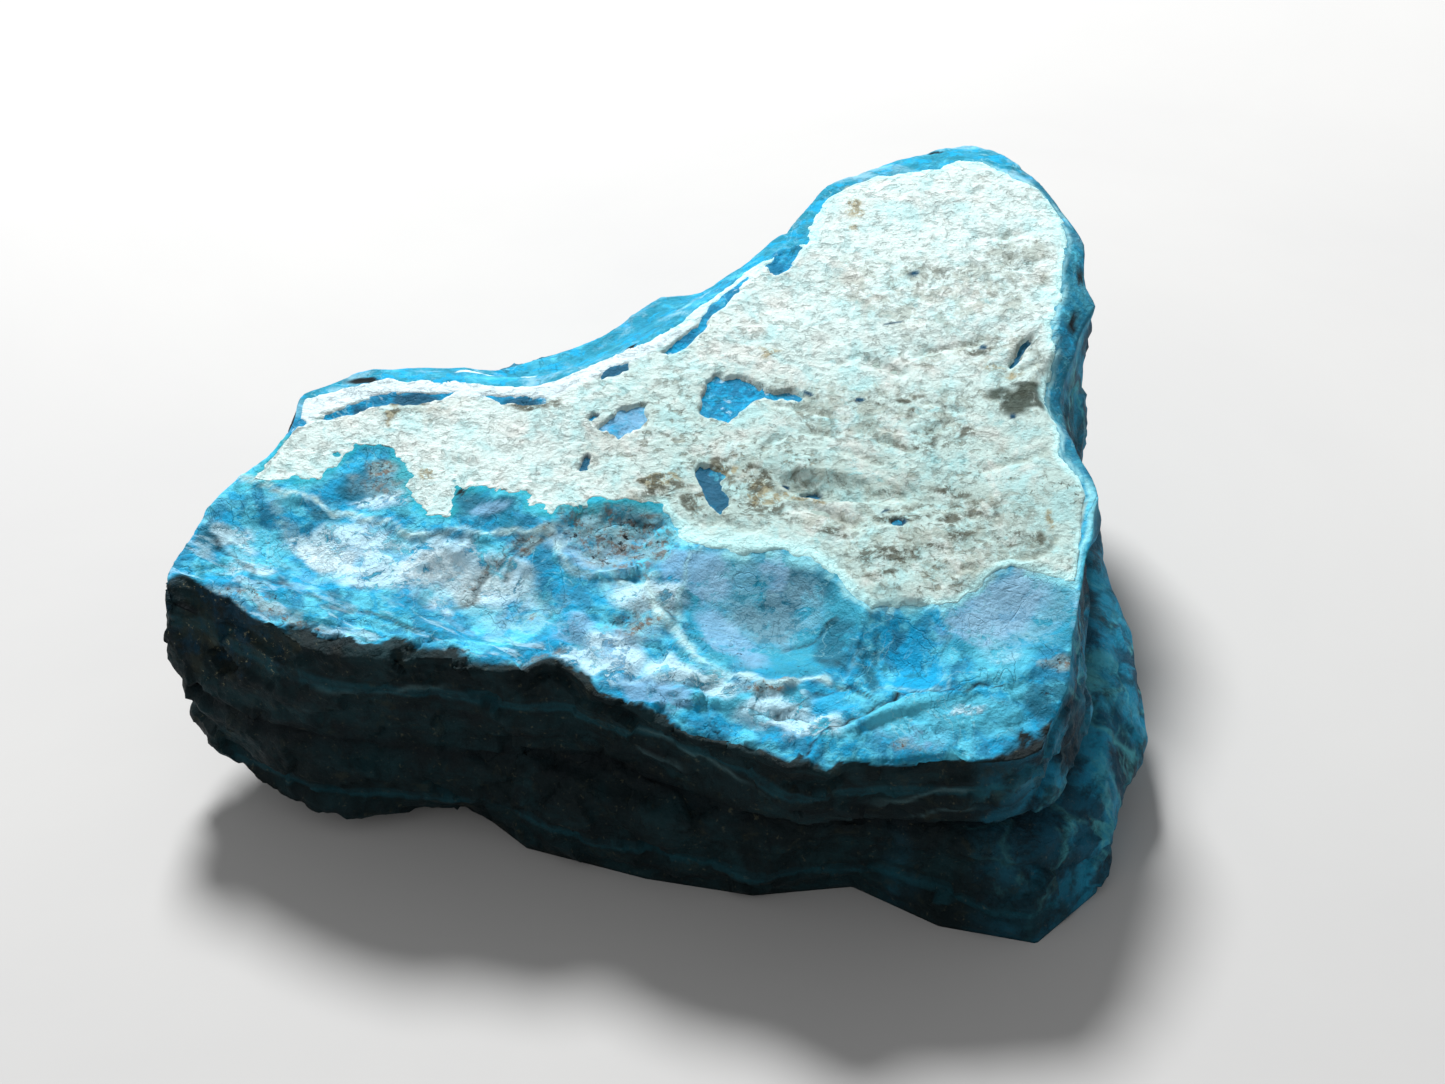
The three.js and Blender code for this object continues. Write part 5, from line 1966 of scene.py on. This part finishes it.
class Graph:
    """A short way to lay out the nodes of a material or a node group."""

    def __init__(self, tree: bpy.types.NodeTree) -> None:
        """Starts on an empty tree.

        Args:
            tree: the tree to add nodes to.
        """
        self.tree = tree

    def node(
        self, kind: str, inputs: dict[str | int, object] | None = None, **settings: object
    ) -> bpy.types.Node:
        """Adds a node.

        Args:
            kind: the node's type.
            inputs: values or sockets for its inputs, by name or number.
            **settings: its own settings.

        Returns:
            The node.
        """
        node = self.tree.nodes.new(kind)
        for name, value in settings.items():
            setattr(node, name, value)
        for key, value in (inputs or {}).items():
            self.feed(node.inputs[key], value)
        return node

    def feed(self, socket: Socket, value: object) -> None:
        """Gives an input its value, or joins it to an output.

        Args:
            socket: the input.
            value: a number, a colour, a Tone or an output.
        """
        if isinstance(value, Socket):
            self.tree.links.new(value, socket)
        else:
            socket.default_value = value.linear if isinstance(value, Tone) else value

    def mask(self, name: str) -> Socket:
        """A value stored at the mesh's points.

        Args:
            name: its name.

        Returns:
            The value's output.
        """
        return self.node("ShaderNodeAttribute", attribute_name=name).outputs["Fac"]

    def math(self, operation: str, *values: object) -> Socket:
        """Sums on values.

        Args:
            operation: such as MULTIPLY.
            *values: its inputs in order.

        Returns:
            The result's output.
        """
        return self.node("ShaderNodeMath", dict(enumerate(values)), operation=operation).outputs["Value"]

    def times(self, *values: object) -> Socket:
        """The product of values, held between 0 and 1.

        Args:
            *values: two or more numbers or outputs.

        Returns:
            The product's output.
        """
        result = values[0]
        for value in values[1:]:
            result = self.math("MULTIPLY", result, value)
        result.node.use_clamp = True
        return result

    def less(self, start: object, *values: object) -> Socket:
        """A value less a product.

        Args:
            start: the value.
            *values: what is multiplied and taken off it.

        Returns:
            The result's output.
        """
        return self.math("SUBTRACT", start, self.times(*values))

    def more(self, start: object, *values: object) -> Socket:
        """A value and a product, added up.

        Args:
            start: the value.
            *values: what is multiplied and added to it.

        Returns:
            The result's output.
        """
        return self.math("ADD", start, self.times(*values))

    def mix(self, share: object, base: object, over: object) -> Socket:
        """Lays one colour over another.

        Args:
            share: how much of the upper colour shows.
            base: the lower colour.
            over: the upper colour.

        Returns:
            The mixed colour's output.
        """
        node = self.node("ShaderNodeMix", {0: share, 6: base, 7: over}, data_type="RGBA", blend_type="MIX")
        return node.outputs[2]

    def remap(
        self, value: object, low: object, high: object, to_low: float = 0.0, to_high: float = 1.0,
        **settings: object,
    ) -> Socket:
        """Spreads a range of values over another, and holds it there.

        Args:
            value: the value.
            low: start of the range.
            high: end of the range.
            to_low: what the start becomes.
            to_high: what the end becomes.
            **settings: the node's own settings.

        Returns:
            The new value's output.
        """
        inputs = {"Value": value, "From Min": low, "From Max": high, "To Min": to_low, "To Max": to_high}
        return self.node("ShaderNodeMapRange", inputs, clamp=True, **settings).outputs["Result"]

    def group(self, group: bpy.types.NodeTree, inputs: dict[str, object]) -> Socket:
        """Uses a node group.

        Args:
            group: the group.
            inputs: its inputs by name.

        Returns:
            Its first output.
        """
        return self.node("ShaderNodeGroup", inputs, node_tree=group).outputs[0]


@dataclass(frozen=True)
class NewGroup:
    """A node group that is being laid out: its tree, its graph and its inputs by name."""

    tree: bpy.types.NodeTree
    graph: Graph
    ports: dict[str, Socket]

    @classmethod
    def start(cls, name: str, inputs: dict[str, float]) -> "NewGroup":
        """Starts a group with a vector input, number inputs and one value output, its mask.

        Args:
            name: the group's name.
            inputs: its number inputs by name, with their default values.

        Returns:
            The group.
        """
        tree = bpy.data.node_groups.new(name, "ShaderNodeTree")
        tree.interface.new_socket("Vector", in_out="INPUT", socket_type="NodeSocketVector")
        for label, value in inputs.items():
            socket = tree.interface.new_socket(label, in_out="INPUT", socket_type="NodeSocketFloat")
            socket.default_value = value
        tree.interface.new_socket("Mask", in_out="OUTPUT", socket_type="NodeSocketFloat")
        graph = Graph(tree)
        return cls(tree, graph, dict(graph.node("NodeGroupInput").outputs.items()))

    def noise(self, vector: object, **inputs: object) -> Socket:
        """Fractal noise.

        Args:
            vector: where it is read.
            **inputs: its other inputs by name.

        Returns:
            Its value.
        """
        return self.graph.node("ShaderNodeTexNoise", {"Vector": vector} | inputs).outputs[0]

    def stretched(self) -> Socket:
        """The vector drawn out along x by the group's Stretch.

        Returns:
            The stretched vector.
        """
        parts = self.graph.node("ShaderNodeSeparateXYZ", {0: self.ports["Vector"]}).outputs
        across = self.graph.math("DIVIDE", parts["X"], self.ports["Stretch"])
        inputs = {"X": across, "Y": parts["Y"], "Z": parts["Z"]}
        return self.graph.node("ShaderNodeCombineXYZ", inputs).outputs[0]

    def end(self, mask: Socket) -> bpy.types.NodeTree:
        """Finishes the group.

        Args:
            mask: what it puts out.

        Returns:
            Its tree.
        """
        self.graph.node("NodeGroupOutput", {0: mask})
        return self.tree


@dataclass(frozen=True)
class Effects:
    """Node groups that the finishes share."""

    blotches: bpy.types.NodeTree
    veins: bpy.types.NodeTree
    beds: bpy.types.NodeTree

    @classmethod
    def make(cls) -> "Effects":
        """Makes the groups.

        Returns:
            The set of groups.
        """
        return cls(cls.make_blotches(), cls.make_veins(), cls.make_beds())

    @staticmethod
    def make_blotches() -> bpy.types.NodeTree:
        """Ragged blotches: fractal noise cut at a threshold.

        Returns:
            The group.
        """
        group = NewGroup.start("Blotches", {
            "Scale": 500.0, "Detail": 6.0, "Threshold": 0.5, "Softness": 0.08, "Stretch": 1.0, "Warp": 0.4,
            "Raggedness": 0.6,
        })
        graph, ports = group.graph, group.ports
        cloud = group.noise(
            group.stretched(), Scale=ports["Scale"], Detail=ports["Detail"], Distortion=ports["Warp"],
            Roughness=ports["Raggedness"],
        )
        low, high = (graph.math(way, ports["Threshold"], ports["Softness"]) for way in ("SUBTRACT", "ADD"))
        return group.end(graph.remap(cloud, low, high, interpolation_type="SMOOTHSTEP"))

    @staticmethod
    def make_veins() -> bpy.types.NodeTree:
        """Thin wandering lines: where warped noise passes through its middle value.

        Returns:
            The group.
        """
        group = NewGroup.start("Veins", {
            "Scale": 200.0, "Detail": 3.0, "Width": 0.012, "Stretch": 1.0, "Warp": 0.6,
        })
        graph, ports = group.graph, group.ports
        cloud = group.noise(
            group.stretched(), Scale=ports["Scale"], Detail=ports["Detail"], Distortion=ports["Warp"]
        )
        away = graph.math("ABSOLUTE", graph.math("SUBTRACT", cloud, 0.5))
        return group.end(graph.remap(away, 0.0, ports["Width"], 1.0, 0.0))

    @staticmethod
    def make_beds() -> bpy.types.NodeTree:
        """Bedding: bands of changing strength that lie with the crust's plane and waver.

        Returns:
            The group.
        """
        group = NewGroup.start("Beds", {"Scale": 700.0, "Waver": 0.0006, "Slope": 0.16})
        graph, ports = group.graph, group.ports
        parts = graph.node("ShaderNodeSeparateXYZ", {0: ports["Vector"]}).outputs
        wander = group.noise(ports["Vector"], Scale=180.0, Detail=3.0)
        level = graph.math("SUBTRACT", parts["Z"], graph.math("MULTIPLY", parts["Y"], ports["Slope"]))
        shift = graph.math("MULTIPLY", graph.math("SUBTRACT", wander, 0.5), ports["Waver"])
        spot = graph.node("ShaderNodeCombineXYZ", {"Z": graph.math("ADD", level, shift)}).outputs[0]
        return group.end(group.noise(spot, Scale=ports["Scale"], Detail=4.0))


class Painter:
    """Lays tones over each other in a material, through masks and patterns."""

    def __init__(self, graph: Graph, effects: Effects, base: Tone, detail: float, stretch: float) -> None:
        """Starts with an even tone.

        Args:
            graph: the material's graph.
            effects: the shared node groups.
            base: the tone.
            detail: how much finer noise its blotches have.
            stretch: how far its blotches are drawn out along x where nothing else is asked.
        """
        self.graph = graph
        self.effects = effects
        self.color: Tone | Socket = base
        self.detail = detail
        self.stretch = stretch
        self.spot = graph.node("ShaderNodeTexCoord").outputs["Object"]

    def blotches(
        self, scale: float, threshold: float, softness: float, stretch: float = 0.0, ragged: float = 0.64
    ) -> Socket:
        """Ragged blotches.

        Args:
            scale: blotches per metre, about.
            threshold: the noise's value at their borders.
            softness: how far the borders fade, in the same values.
            stretch: how far they are drawn out along x, or 0 for the painter's own stretch.
            ragged: how rough their borders are.

        Returns:
            Their mask.
        """
        return self.graph.group(self.effects.blotches, {
            "Vector": self.spot, "Scale": scale, "Threshold": threshold, "Softness": softness,
            "Detail": self.detail, "Stretch": stretch or self.stretch, "Raggedness": ragged,
        })

    def streaks(self, scale: float, threshold: float, stretch: float) -> Socket:
        """Blotches drawn out along the ledge's streaks.

        Args:
            scale: blotches per metre, about.
            threshold: the noise's value at their borders.
            stretch: how far they are drawn out.

        Returns:
            Their mask.
        """
        turn = {"Vector": self.spot, "Angle": math.radians(-STREAK_TURN)}
        return self.graph.group(self.effects.blotches, {
            "Vector": self.graph.node("ShaderNodeVectorRotate", turn, rotation_type="Z_AXIS").outputs[0],
            "Scale": scale, "Threshold": threshold, "Softness": 0.05, "Detail": 6.0, "Stretch": stretch,
        })

    def hairs(self, scale: float, width: float) -> Socket:
        """Thin wandering lines.

        Args:
            scale: bends per metre, about.
            width: how wide they are, in the noise's values.

        Returns:
            Their mask.
        """
        inputs = {"Vector": self.spot, "Scale": scale, "Width": width, "Detail": 6.0}
        return self.graph.group(self.effects.veins, inputs)

    def share(self, value: object) -> object:
        """What a share of a lay stands for.

        Args:
            value: a mask's name, the numbers of some blotches, a number or an output.

        Returns:
            A number or an output.
        """
        if isinstance(value, str):
            return self.graph.mask(value)
        return self.blotches(*value) if isinstance(value, tuple) else value

    def lay(self, tone: Tone | Socket, *shares: object) -> None:
        """Lays a tone over the colour so far.

        Args:
            tone: the tone.
            *shares: what its cover is the product of, each as share() takes it.
        """
        cover = [self.share(value) for value in shares]
        product = self.graph.times(*cover) if len(cover) > 1 else cover[0]
        self.color = self.graph.mix(product, self.color, tone)

    def bumps(self, height: Socket, strength: float) -> Socket:
        """Turns a height into a bumpy surface.

        Args:
            height: the height.
            strength: how strongly it shows.

        Returns:
            The surface's direction.
        """
        inputs = {"Strength": strength, "Distance": BUMP_DEPTH, "Height": height}
        return self.graph.node("ShaderNodeBump", inputs).outputs[0]


@dataclass(frozen=True)
class Finish:
    """What the finishes share: the node groups, and how a material is laid out."""

    title: ClassVar[str]
    detail: ClassVar[float] = 6.0
    stretch: ClassVar[float] = 1.0
    effects: Effects

    @property
    def base(self) -> Tone:
        """The tone that lies under all others."""
        raise NotImplementedError

    def surface(self, paint: Painter) -> dict[str, object]:
        """Lays the finish out.

        Args:
            paint: the painter, with the finish's base tone laid.

        Returns:
            The shader's inputs by name.
        """
        raise NotImplementedError

    def material(self) -> bpy.types.Material:
        """Makes the material.

        Returns:
            The material.
        """
        material = bpy.data.materials.new(self.title)
        material.use_nodes = True
        material.node_tree.nodes.clear()
        graph = Graph(material.node_tree)
        paint = Painter(graph, self.effects, self.base, self.detail, self.stretch)
        shader = graph.node("ShaderNodeBsdfPrincipled", self.surface(paint))
        graph.node("ShaderNodeOutputMaterial", {"Surface": shader.outputs[0]})
        return material


@dataclass(frozen=True)
class StoneFinish(Finish):
    """Waxy blue copper silicate with whitish films, partly painted sheen, rusty patches and dark teal walls,
    with painted shade on the front, in the seam, cracks and small hollows, and painted light on a few spots.
    """

    title: ClassVar[str] = "blue stone"
    detail: ClassVar[float] = 10.0
    sky: Tone = Tone(84, 192, 220)
    strong: Tone = Tone(14, 118, 160)
    azure: Tone = Tone(5, 158, 208)
    teal: Tone = Tone(20, 110, 128)
    veil_and_sheen: Tone = Tone(192, 228, 242)
    lavender: Tone = Tone(124, 174, 208)
    facet: Tone = Tone(38, 144, 172)
    shade: Tone = Tone(24, 100, 124)
    ochre: Tone = Tone(180, 210, 208)
    rust: Tone = Tone(110, 84, 60)
    rose: Tone = Tone(138, 170, 176)
    rim: Tone = Tone(26, 160, 176)
    pale: Tone = Tone(158, 214, 222)
    bevel: Tone = Tone(38, 142, 172)
    wall_blue: Tone = Tone(36, 152, 190)
    wall_teal: Tone = Tone(24, 104, 128)
    shade_deep: Tone = Tone(10, 58, 80)
    wall_line: Tone = Tone(96, 196, 208)
    # Painted shade on the front walls, in a darker and a paler blotch.
    front: Tone = Tone(9, 26, 29)
    front_light: Tone = Tone(15, 44, 49)
    brown: Tone = Tone(48, 52, 40)
    dark: Tone = Tone(10, 20, 24)
    tan: Tone = Tone(150, 148, 118)
    chalk: Tone = Tone(150, 170, 164)
    pit_shade: Tone = Tone(26, 84, 112)
    glow: Tone = Tone(140, 226, 240)
    film_and_sheen: Tone = Tone(222, 240, 244)
    pale_crest_highlight: Tone = Tone(196, 234, 236)

    @property
    def base(self) -> Tone:
        """The ledge's own blue."""
        return self.sky

    def surface(self, paint: Painter) -> dict[str, object]:
        """Lays the ledge and the wall side by side.

        Args:
            paint: the painter, with the ledge's blue laid.

        Returns:
            The shader's inputs by name.
        """
        graph = paint.graph
        facet, hair = graph.mask("facet"), paint.hairs(240.0, 0.007)
        film_and_sheen = self.film_and_sheen_share(paint, facet)
        self.lay_ledge(paint, facet, film_and_sheen, hair)
        ledge = paint.color
        self.lay_wall(paint)
        # The wall tones, with the painted shade of the front, go on the walls and over the ledge along its
        # brow.
        paint.color = graph.mix(graph.mask("wall"), ledge, paint.color)
        paint.lay(self.dark, "dark", 1.0)

        grain = {"Vector": paint.spot, "Scale": 1500.0, "Detail": 8.0, "Roughness": 0.66}
        fine = graph.node("ShaderNodeTexNoise", grain).outputs[0]
        cells = {"Vector": paint.spot, "Scale": 620.0, "Detail": 2.0}
        chips = graph.node("ShaderNodeTexVoronoi", cells).outputs[0]
        uneven = graph.math("MULTIPLY", chips, graph.less(0.4, facet, 0.35))
        height = graph.less(graph.math("ADD", graph.more(fine, film_and_sheen, 0.3), uneven), hair, 0.2)
        polish = graph.more(graph.less(fine, facet, 0.25), graph.mask("bevel"), 0.4)
        return {
            "Base Color": paint.color, "Roughness": graph.remap(polish, 0.1, 0.8, 0.4, 0.8),
            "Normal": paint.bumps(height, 0.7), "Specular IOR Level": 0.15,
        }

    def film_and_sheen_share(self, paint: Painter, facet: Socket) -> Socket:
        """How thickly the whitish film and the painted sheen lie.

        Args:
            paint: the painter.
            facet: where the stone is smoothly broken.

        Returns:
            Values from 0 to 1.
        """
        graph = paint.graph
        mist = graph.times(paint.blotches(260, 0.5, 0.05), 0.4)
        cover = graph.math("MAXIMUM", paint.blotches(850, 0.46, 0.025, 1.2, 0.72), mist)
        return graph.times(graph.mask("veil_and_sheen"), cover, graph.less(1.0, facet, 0.75))

    def lay_ledge(self, paint: Painter, facet: Socket, film_and_sheen: Socket, hair: Socket) -> None:
        """Lays the tones of the ledge, the bevel and the windows.

        Args:
            paint: the painter.
            facet: where the stone is smoothly broken.
            film_and_sheen: where the whitish film and the painted sheen lie.
            hair: thin dark lines.
        """
        graph, lay = paint.graph, paint.lay
        lay(self.strong, (300, 0.5, 0.06), 0.85)
        lay(self.bevel, "bevel", (260, 0.42, 0.1))
        lay(self.teal, "bevel", (380, 0.54, 0.08), 0.5)
        lay(self.azure, "deep", (420, 0.5, 0.05))
        lay(self.strong, "window", (500, 0.42, 0.1), 0.95)
        lay(self.veil_and_sheen, "window", (1100, 0.63, 0.04), 0.6)
        lay(self.facet, facet, 0.85)
        lay(self.azure, (900, 0.54, 0.04, 1.3, 0.7), graph.less(0.8, facet, 0.5))
        lay(self.teal, (620, 0.6, 0.05), 0.6)
        lay(self.shade, "shade", (520, 0.42, 0.06), 0.85)
        # Lavender-white film, partly painted sheen.
        lay(self.lavender, "lavender", (460, 0.44, 0.05), 0.8)
        lay(self.sky, "clear", (380, 0.42, 0.06), 0.8)
        # Whitish film, partly painted sheen.
        lay(self.veil_and_sheen, film_and_sheen, 0.8)
        # Painted light on spots that would lie in shade.
        lay(self.film_and_sheen, "painted_light", (700, 0.44, 0.04, 1.2, 0.72), 0.6)
        lay(self.veil_and_sheen, "bevel", (260, 0.58, 0.08), 0.35)
        lay(self.veil_and_sheen, "streak", paint.streaks(900, 0.57, 3.5), 0.5)
        lay(self.teal, "streak", paint.streaks(1000, 0.58, 4.0), 0.7)
        lay(self.ochre, "ochre", (520, 0.5, 0.05), 0.28)
        lay(self.rose, "rust", (600, 0.46, 0.08), 0.75)
        lay(self.rust, "rust", (1700, 0.54, 0.05, 1.0, 0.7), 0.8)
        lay(self.dark, "rust", (1900, 0.59, 0.04, 1.2, 0.7), 0.9)
        lay(self.shade, hair, (150, 0.48, 0.1), graph.less(0.4, facet, 0.4))
        lay(self.pale, paint.hairs(330, 0.009), (170, 0.52, 0.1), 0.45)
        lay(self.dark, (1900, 0.62, 0.03, 1.2, 0.7), graph.more(0.14, graph.mask("speck"), 0.8))
        lay(self.rim, "rim", 0.75)
        # Pale outlines, and a painted glow along the crust's edge.
        lay(self.pale, "line", 0.8)
        # Pale crests, partly painted highlight.
        lay(self.pale_crest_highlight, "pale_crest_highlight", (900, 0.36, 0.08), 0.85)
        lay(self.film_and_sheen, "white patch", (700, 0.4, 0.05), 0.95)
        # Painted shade on the floors of the small windows and the back strips.
        lay(self.pit_shade, "pit_shade", (500, 0.3, 0.1), 0.95)
        lay(self.lavender, "pale floor", (500, 0.42, 0.08), 0.7)
        lay(self.glow, "glow", 0.85)
        lay(self.chalk, "covered", 1.0)

    def lay_wall(self, paint: Painter) -> None:
        """Lays the tones of the walls afresh, in place of the ledge's.

        Args:
            paint: the painter.
        """
        graph, lay = paint.graph, paint.lay
        beds = graph.group(self.effects.beds, {"Vector": paint.spot, "Scale": 520.0})
        end = graph.mask("facet end")
        paint.color = self.wall_teal
        lay(self.wall_blue, (200, 0.48, 0.06))
        lay(self.azure, (260, 0.56, 0.05), 0.5)
        lay(self.shade_deep, (170, 0.53, 0.04), 0.75)
        # Painted shade in pools on the right wall, the largest under its rim.
        lay(self.shade_deep, "shade_pool", (420, 0.4, 0.06), 0.9)
        lay(self.wall_line, "ridge", 0.7)
        lay(self.wall_line, paint.hairs(150, 0.03), (120, 0.48, 0.1), 0.7)
        # Painted shade: walls that face the front are painted near black, as the side turned away from the
        # light.
        lay(graph.mix(paint.blotches(260, 0.52, 0.1), self.front, self.front_light), "front")
        lay(self.teal, graph.remap(beds, 0.54, 0.7), 0.3)
        lay(self.dark, graph.remap(beds, 0.5, 0.36), 0.6)
        lay(self.brown, (700, 0.6, 0.05, 1.0, 0.7), graph.more(0.07, graph.mask("front"), 0.28))
        lay(self.dark, (360, 0.58, 0.06, 1.0, 0.7), 0.6)
        lay(self.brown, end, (420, 0.54, 0.08, 1.0, 0.7), 0.45)
        lay(self.shade_deep, end, (300, 0.55, 0.06), 0.6)
        lay(self.pale, "bed", 0.12)
        # Painted shade in the open seam.
        lay(self.dark, "seam_shade", 0.85)
        lay(self.tan, (2300, 0.63, 0.03, 1.0, 0.7), graph.more(0.14, end, 0.4))


@dataclass(frozen=True)
class CrustFinish(Finish):
    """Dull chalky mint-white crust with flecks of tint and grey-olive stains, painted lighter toward its
    left end and back, with painted shade in its hollows and round its windows and a painted glow along its
    torn edge.
    """

    title: ClassVar[str] = "pale crust"
    detail: ClassVar[float] = 8.0
    stretch: ClassVar[float] = 0.85
    mint: Tone = Tone(180, 206, 202)
    painted_light: Tone = Tone(206, 226, 224)
    cyan: Tone = Tone(160, 214, 218)
    rose: Tone = Tone(218, 212, 206)
    stain_and_shade: Tone = Tone(140, 146, 132)
    dirt_and_shade: Tone = Tone(76, 76, 62)
    tan: Tone = Tone(146, 134, 96)
    edge: Tone = Tone(198, 250, 252)
    white: Tone = Tone(208, 228, 235)
    fleck: Tone = Tone(24, 70, 96)
    teal: Tone = Tone(128, 190, 196)
    grey: Tone = Tone(54, 64, 54)

    @property
    def base(self) -> Tone:
        """The crust's own mint."""
        return self.mint

    def surface(self, paint: Painter) -> dict[str, object]:
        """Lays the crust's tones.

        Args:
            paint: the painter, with the mint laid.

        Returns:
            The shader's inputs by name.
        """
        graph, lay = paint.graph, paint.lay
        hollow = graph.mask("hollow")
        rough = graph.less(1.0, graph.mask("smooth"), 0.5)
        dull = graph.less(1.0, graph.mask("light"), 0.8)
        flaws = paint.blotches(1500, 0.58, 0.05, 1.2, 0.7)
        crowds = paint.blotches(170, 0.5, 0.12, 1.4)
        # Painted light: the crust is painted lighter toward its left end and back, the side that faces the
        # lamp.
        lay(self.painted_light, "light")
        lay(self.cyan, (420, 0.55, 0.1), 0.55)
        lay(self.rose, (300, 0.57, 0.1), 0.45)
        # Stain with painted shade in the relief's hollows.
        lay(self.stain_and_shade, graph.remap(hollow, 0.6, 0.95), (500, 0.48, 0.1), dull, 0.4)
        lay(self.stain_and_shade, flaws, rough, crowds, dull, 0.9)
        lay(self.teal, (900, 0.6, 0.05, 1.2, 0.7), graph.math("SUBTRACT", 1.0, crowds), 0.6)
        lay(self.stain_and_shade, "stain_and_shade", (620, 0.52, 0.05, 0.8, 0.72), 0.5)
        # Dirt with painted shade in the hollows of the stained places.
        lay(self.dirt_and_shade, "stain_and_shade", graph.remap(hollow, 0.4, 0.8), (1000, 0.54, 0.05, 0.8, 0.7), 0.55)
        lay(self.tan, "tan", (1500, 0.48, 0.05, 1.0, 0.7), 0.75)
        lay(self.dirt_and_shade, "dirt_and_shade", (1300, 0.48, 0.06, 1.0, 0.7), 0.85)
        lay(self.grey, "grey", (700, 0.36, 0.1), 0.92)
        lay(self.white, "white", 0.9)
        lay(self.dirt_and_shade, (1900, 0.62, 0.03, 1.1, 0.7), crowds, dull, 0.8)
        # Painted glow along the torn edge.
        lay(self.edge, "edge", 0.9)
        lay(self.fleck, "fleck", 1.0)

        grain = {"Vector": paint.spot, "Scale": 1700.0, "Detail": 8.0, "Roughness": 0.68}
        height = graph.less(graph.node("ShaderNodeTexNoise", grain).outputs[0], flaws, rough, 0.3)
        return {
            "Base Color": paint.color, "Roughness": 0.92, "Normal": paint.bumps(height, 0.8),
            "Specular IOR Level": 0.25,
        }


@dataclass(frozen=True)
class FloorFinish(Finish):
    """Matt pale studio floor, very slightly uneven in tone."""

    title: ClassVar[str] = "studio floor"
    light: Tone = Tone(186, 186, 185)
    shade: Tone = Tone(180, 180, 180)

    @property
    def base(self) -> Tone:
        """The floor's own tone."""
        return self.light

    def surface(self, paint: Painter) -> dict[str, object]:
        """Lays faint clouds over the floor.

        Args:
            paint: the painter, with the floor's tone laid.

        Returns:
            The shader's inputs by name.
        """
        paint.lay(self.shade, (14, 0.5, 0.3, 1.0, 0.6))
        return {"Base Color": paint.color, "Roughness": 0.85, "Specular IOR Level": 0.2}


# The studio --------------------------------------------------


@dataclass(frozen=True)
class Lamp:
    """A soft square light: the way to it from the stone, its distance, size in metres and power in watts."""

    name: str
    toward: Spot3
    distance: float
    size: float
    power: float
    tint: tuple[float, float, float] = (1.0, 1.0, 1.0)

    def make(self, target: Vector) -> bpy.types.Object:
        """Hangs the lamp, aimed at the stone.

        Args:
            target: the place it shines on, in metres.

        Returns:
            The lamp.
        """
        light = bpy.data.lights.new(self.name, "AREA")
        light.shape = "DISK"
        light.size = self.size
        light.energy = self.power
        light.color = self.tint
        lamp = bpy.data.objects.new(self.name, light)
        way = Vector(self.toward).normalized()
        lamp.location = target + way * self.distance
        lamp.rotation_euler = way.to_track_quat("Z", "Y").to_euler()
        bpy.context.scene.collection.objects.link(lamp)
        return lamp


@dataclass(frozen=True)
class Studio:
    """Floor, lights and camera."""

    target: Spot3 = (4.0, -5.0, 14.0)
    camera_distance: float = 200.0
    camera_elevation: float = 40.0
    lens: float = 73.99
    sensor: float = 36.0
    floor_half: float = 2.0
    world: float = 0.36
    lamps: tuple[Lamp, ...] = (
        Lamp("key", (-3.2, 11.7, 14.0), 0.45, 0.12, 3.6),
        Lamp("fill", (-6.0, -10.0, 9.0), 0.6, 0.5, 0.3),
    )

    def build(self, floor_finish: FloorFinish) -> None:
        """Sets up the studio.

        Args:
            floor_finish: the floor's finish.
        """
        target = Vector(self.target) * MM
        for lamp in self.lamps:
            lamp.make(target)
        self.make_floor(floor_finish)
        self.make_world()
        self.make_camera(target)

    def make_floor(self, finish: FloorFinish) -> None:
        """Lays the floor under the stone.

        Args:
            finish: its finish.
        """
        half = self.floor_half
        mesh = bpy.data.meshes.new("floor")
        corners = [(-half, -half, 0.0), (half, -half, 0.0), (half, half, 0.0), (-half, half, 0.0)]
        mesh.from_pydata(corners, [], [(0, 1, 2, 3)])
        mesh.materials.append(finish.material())
        floor = bpy.data.objects.new("floor", mesh)
        bpy.context.scene.collection.objects.link(floor)

    def make_world(self) -> None:
        """Gives the studio an even pale surround."""
        world = bpy.data.worlds.new("studio")
        world.use_nodes = True
        world.node_tree.nodes["Background"].inputs["Strength"].default_value = self.world
        world.node_tree.nodes["Background"].inputs["Color"].default_value = (1.0, 1.0, 1.0, 1.0)
        bpy.context.scene.world = world

    def make_camera(self, target: Vector) -> None:
        """Sets the camera at the viewing angle.

        Args:
            target: the place it looks at, in metres.
        """
        data = bpy.data.cameras.new("camera")
        data.lens = self.lens
        data.sensor_width = self.sensor
        data.sensor_fit = "HORIZONTAL"
        data.clip_start = 0.01
        camera = bpy.data.objects.new("camera", data)
        rise = math.radians(self.camera_elevation)
        back = Vector((0.0, -math.cos(rise), math.sin(rise)))
        camera.location = target + back * self.camera_distance * MM
        camera.rotation_euler = (math.pi / 2.0 - rise, 0.0, 0.0)
        bpy.context.scene.collection.objects.link(camera)
        bpy.context.scene.camera = camera


def main() -> None:
    """Builds the stone and the studio."""
    logging.basicConfig(level=logging.INFO, format="%(message)s")
    effects = Effects.make()
    body = BlueStone()
    body.build().make(StoneFinish(effects).material())
    PaleCrust(body=body).build().make(CrustFinish(effects).material())
    Studio().build(FloorFinish(effects))
    bpy.context.scene.view_settings.view_transform = "Standard"


if __name__ == "__main__":
    main()
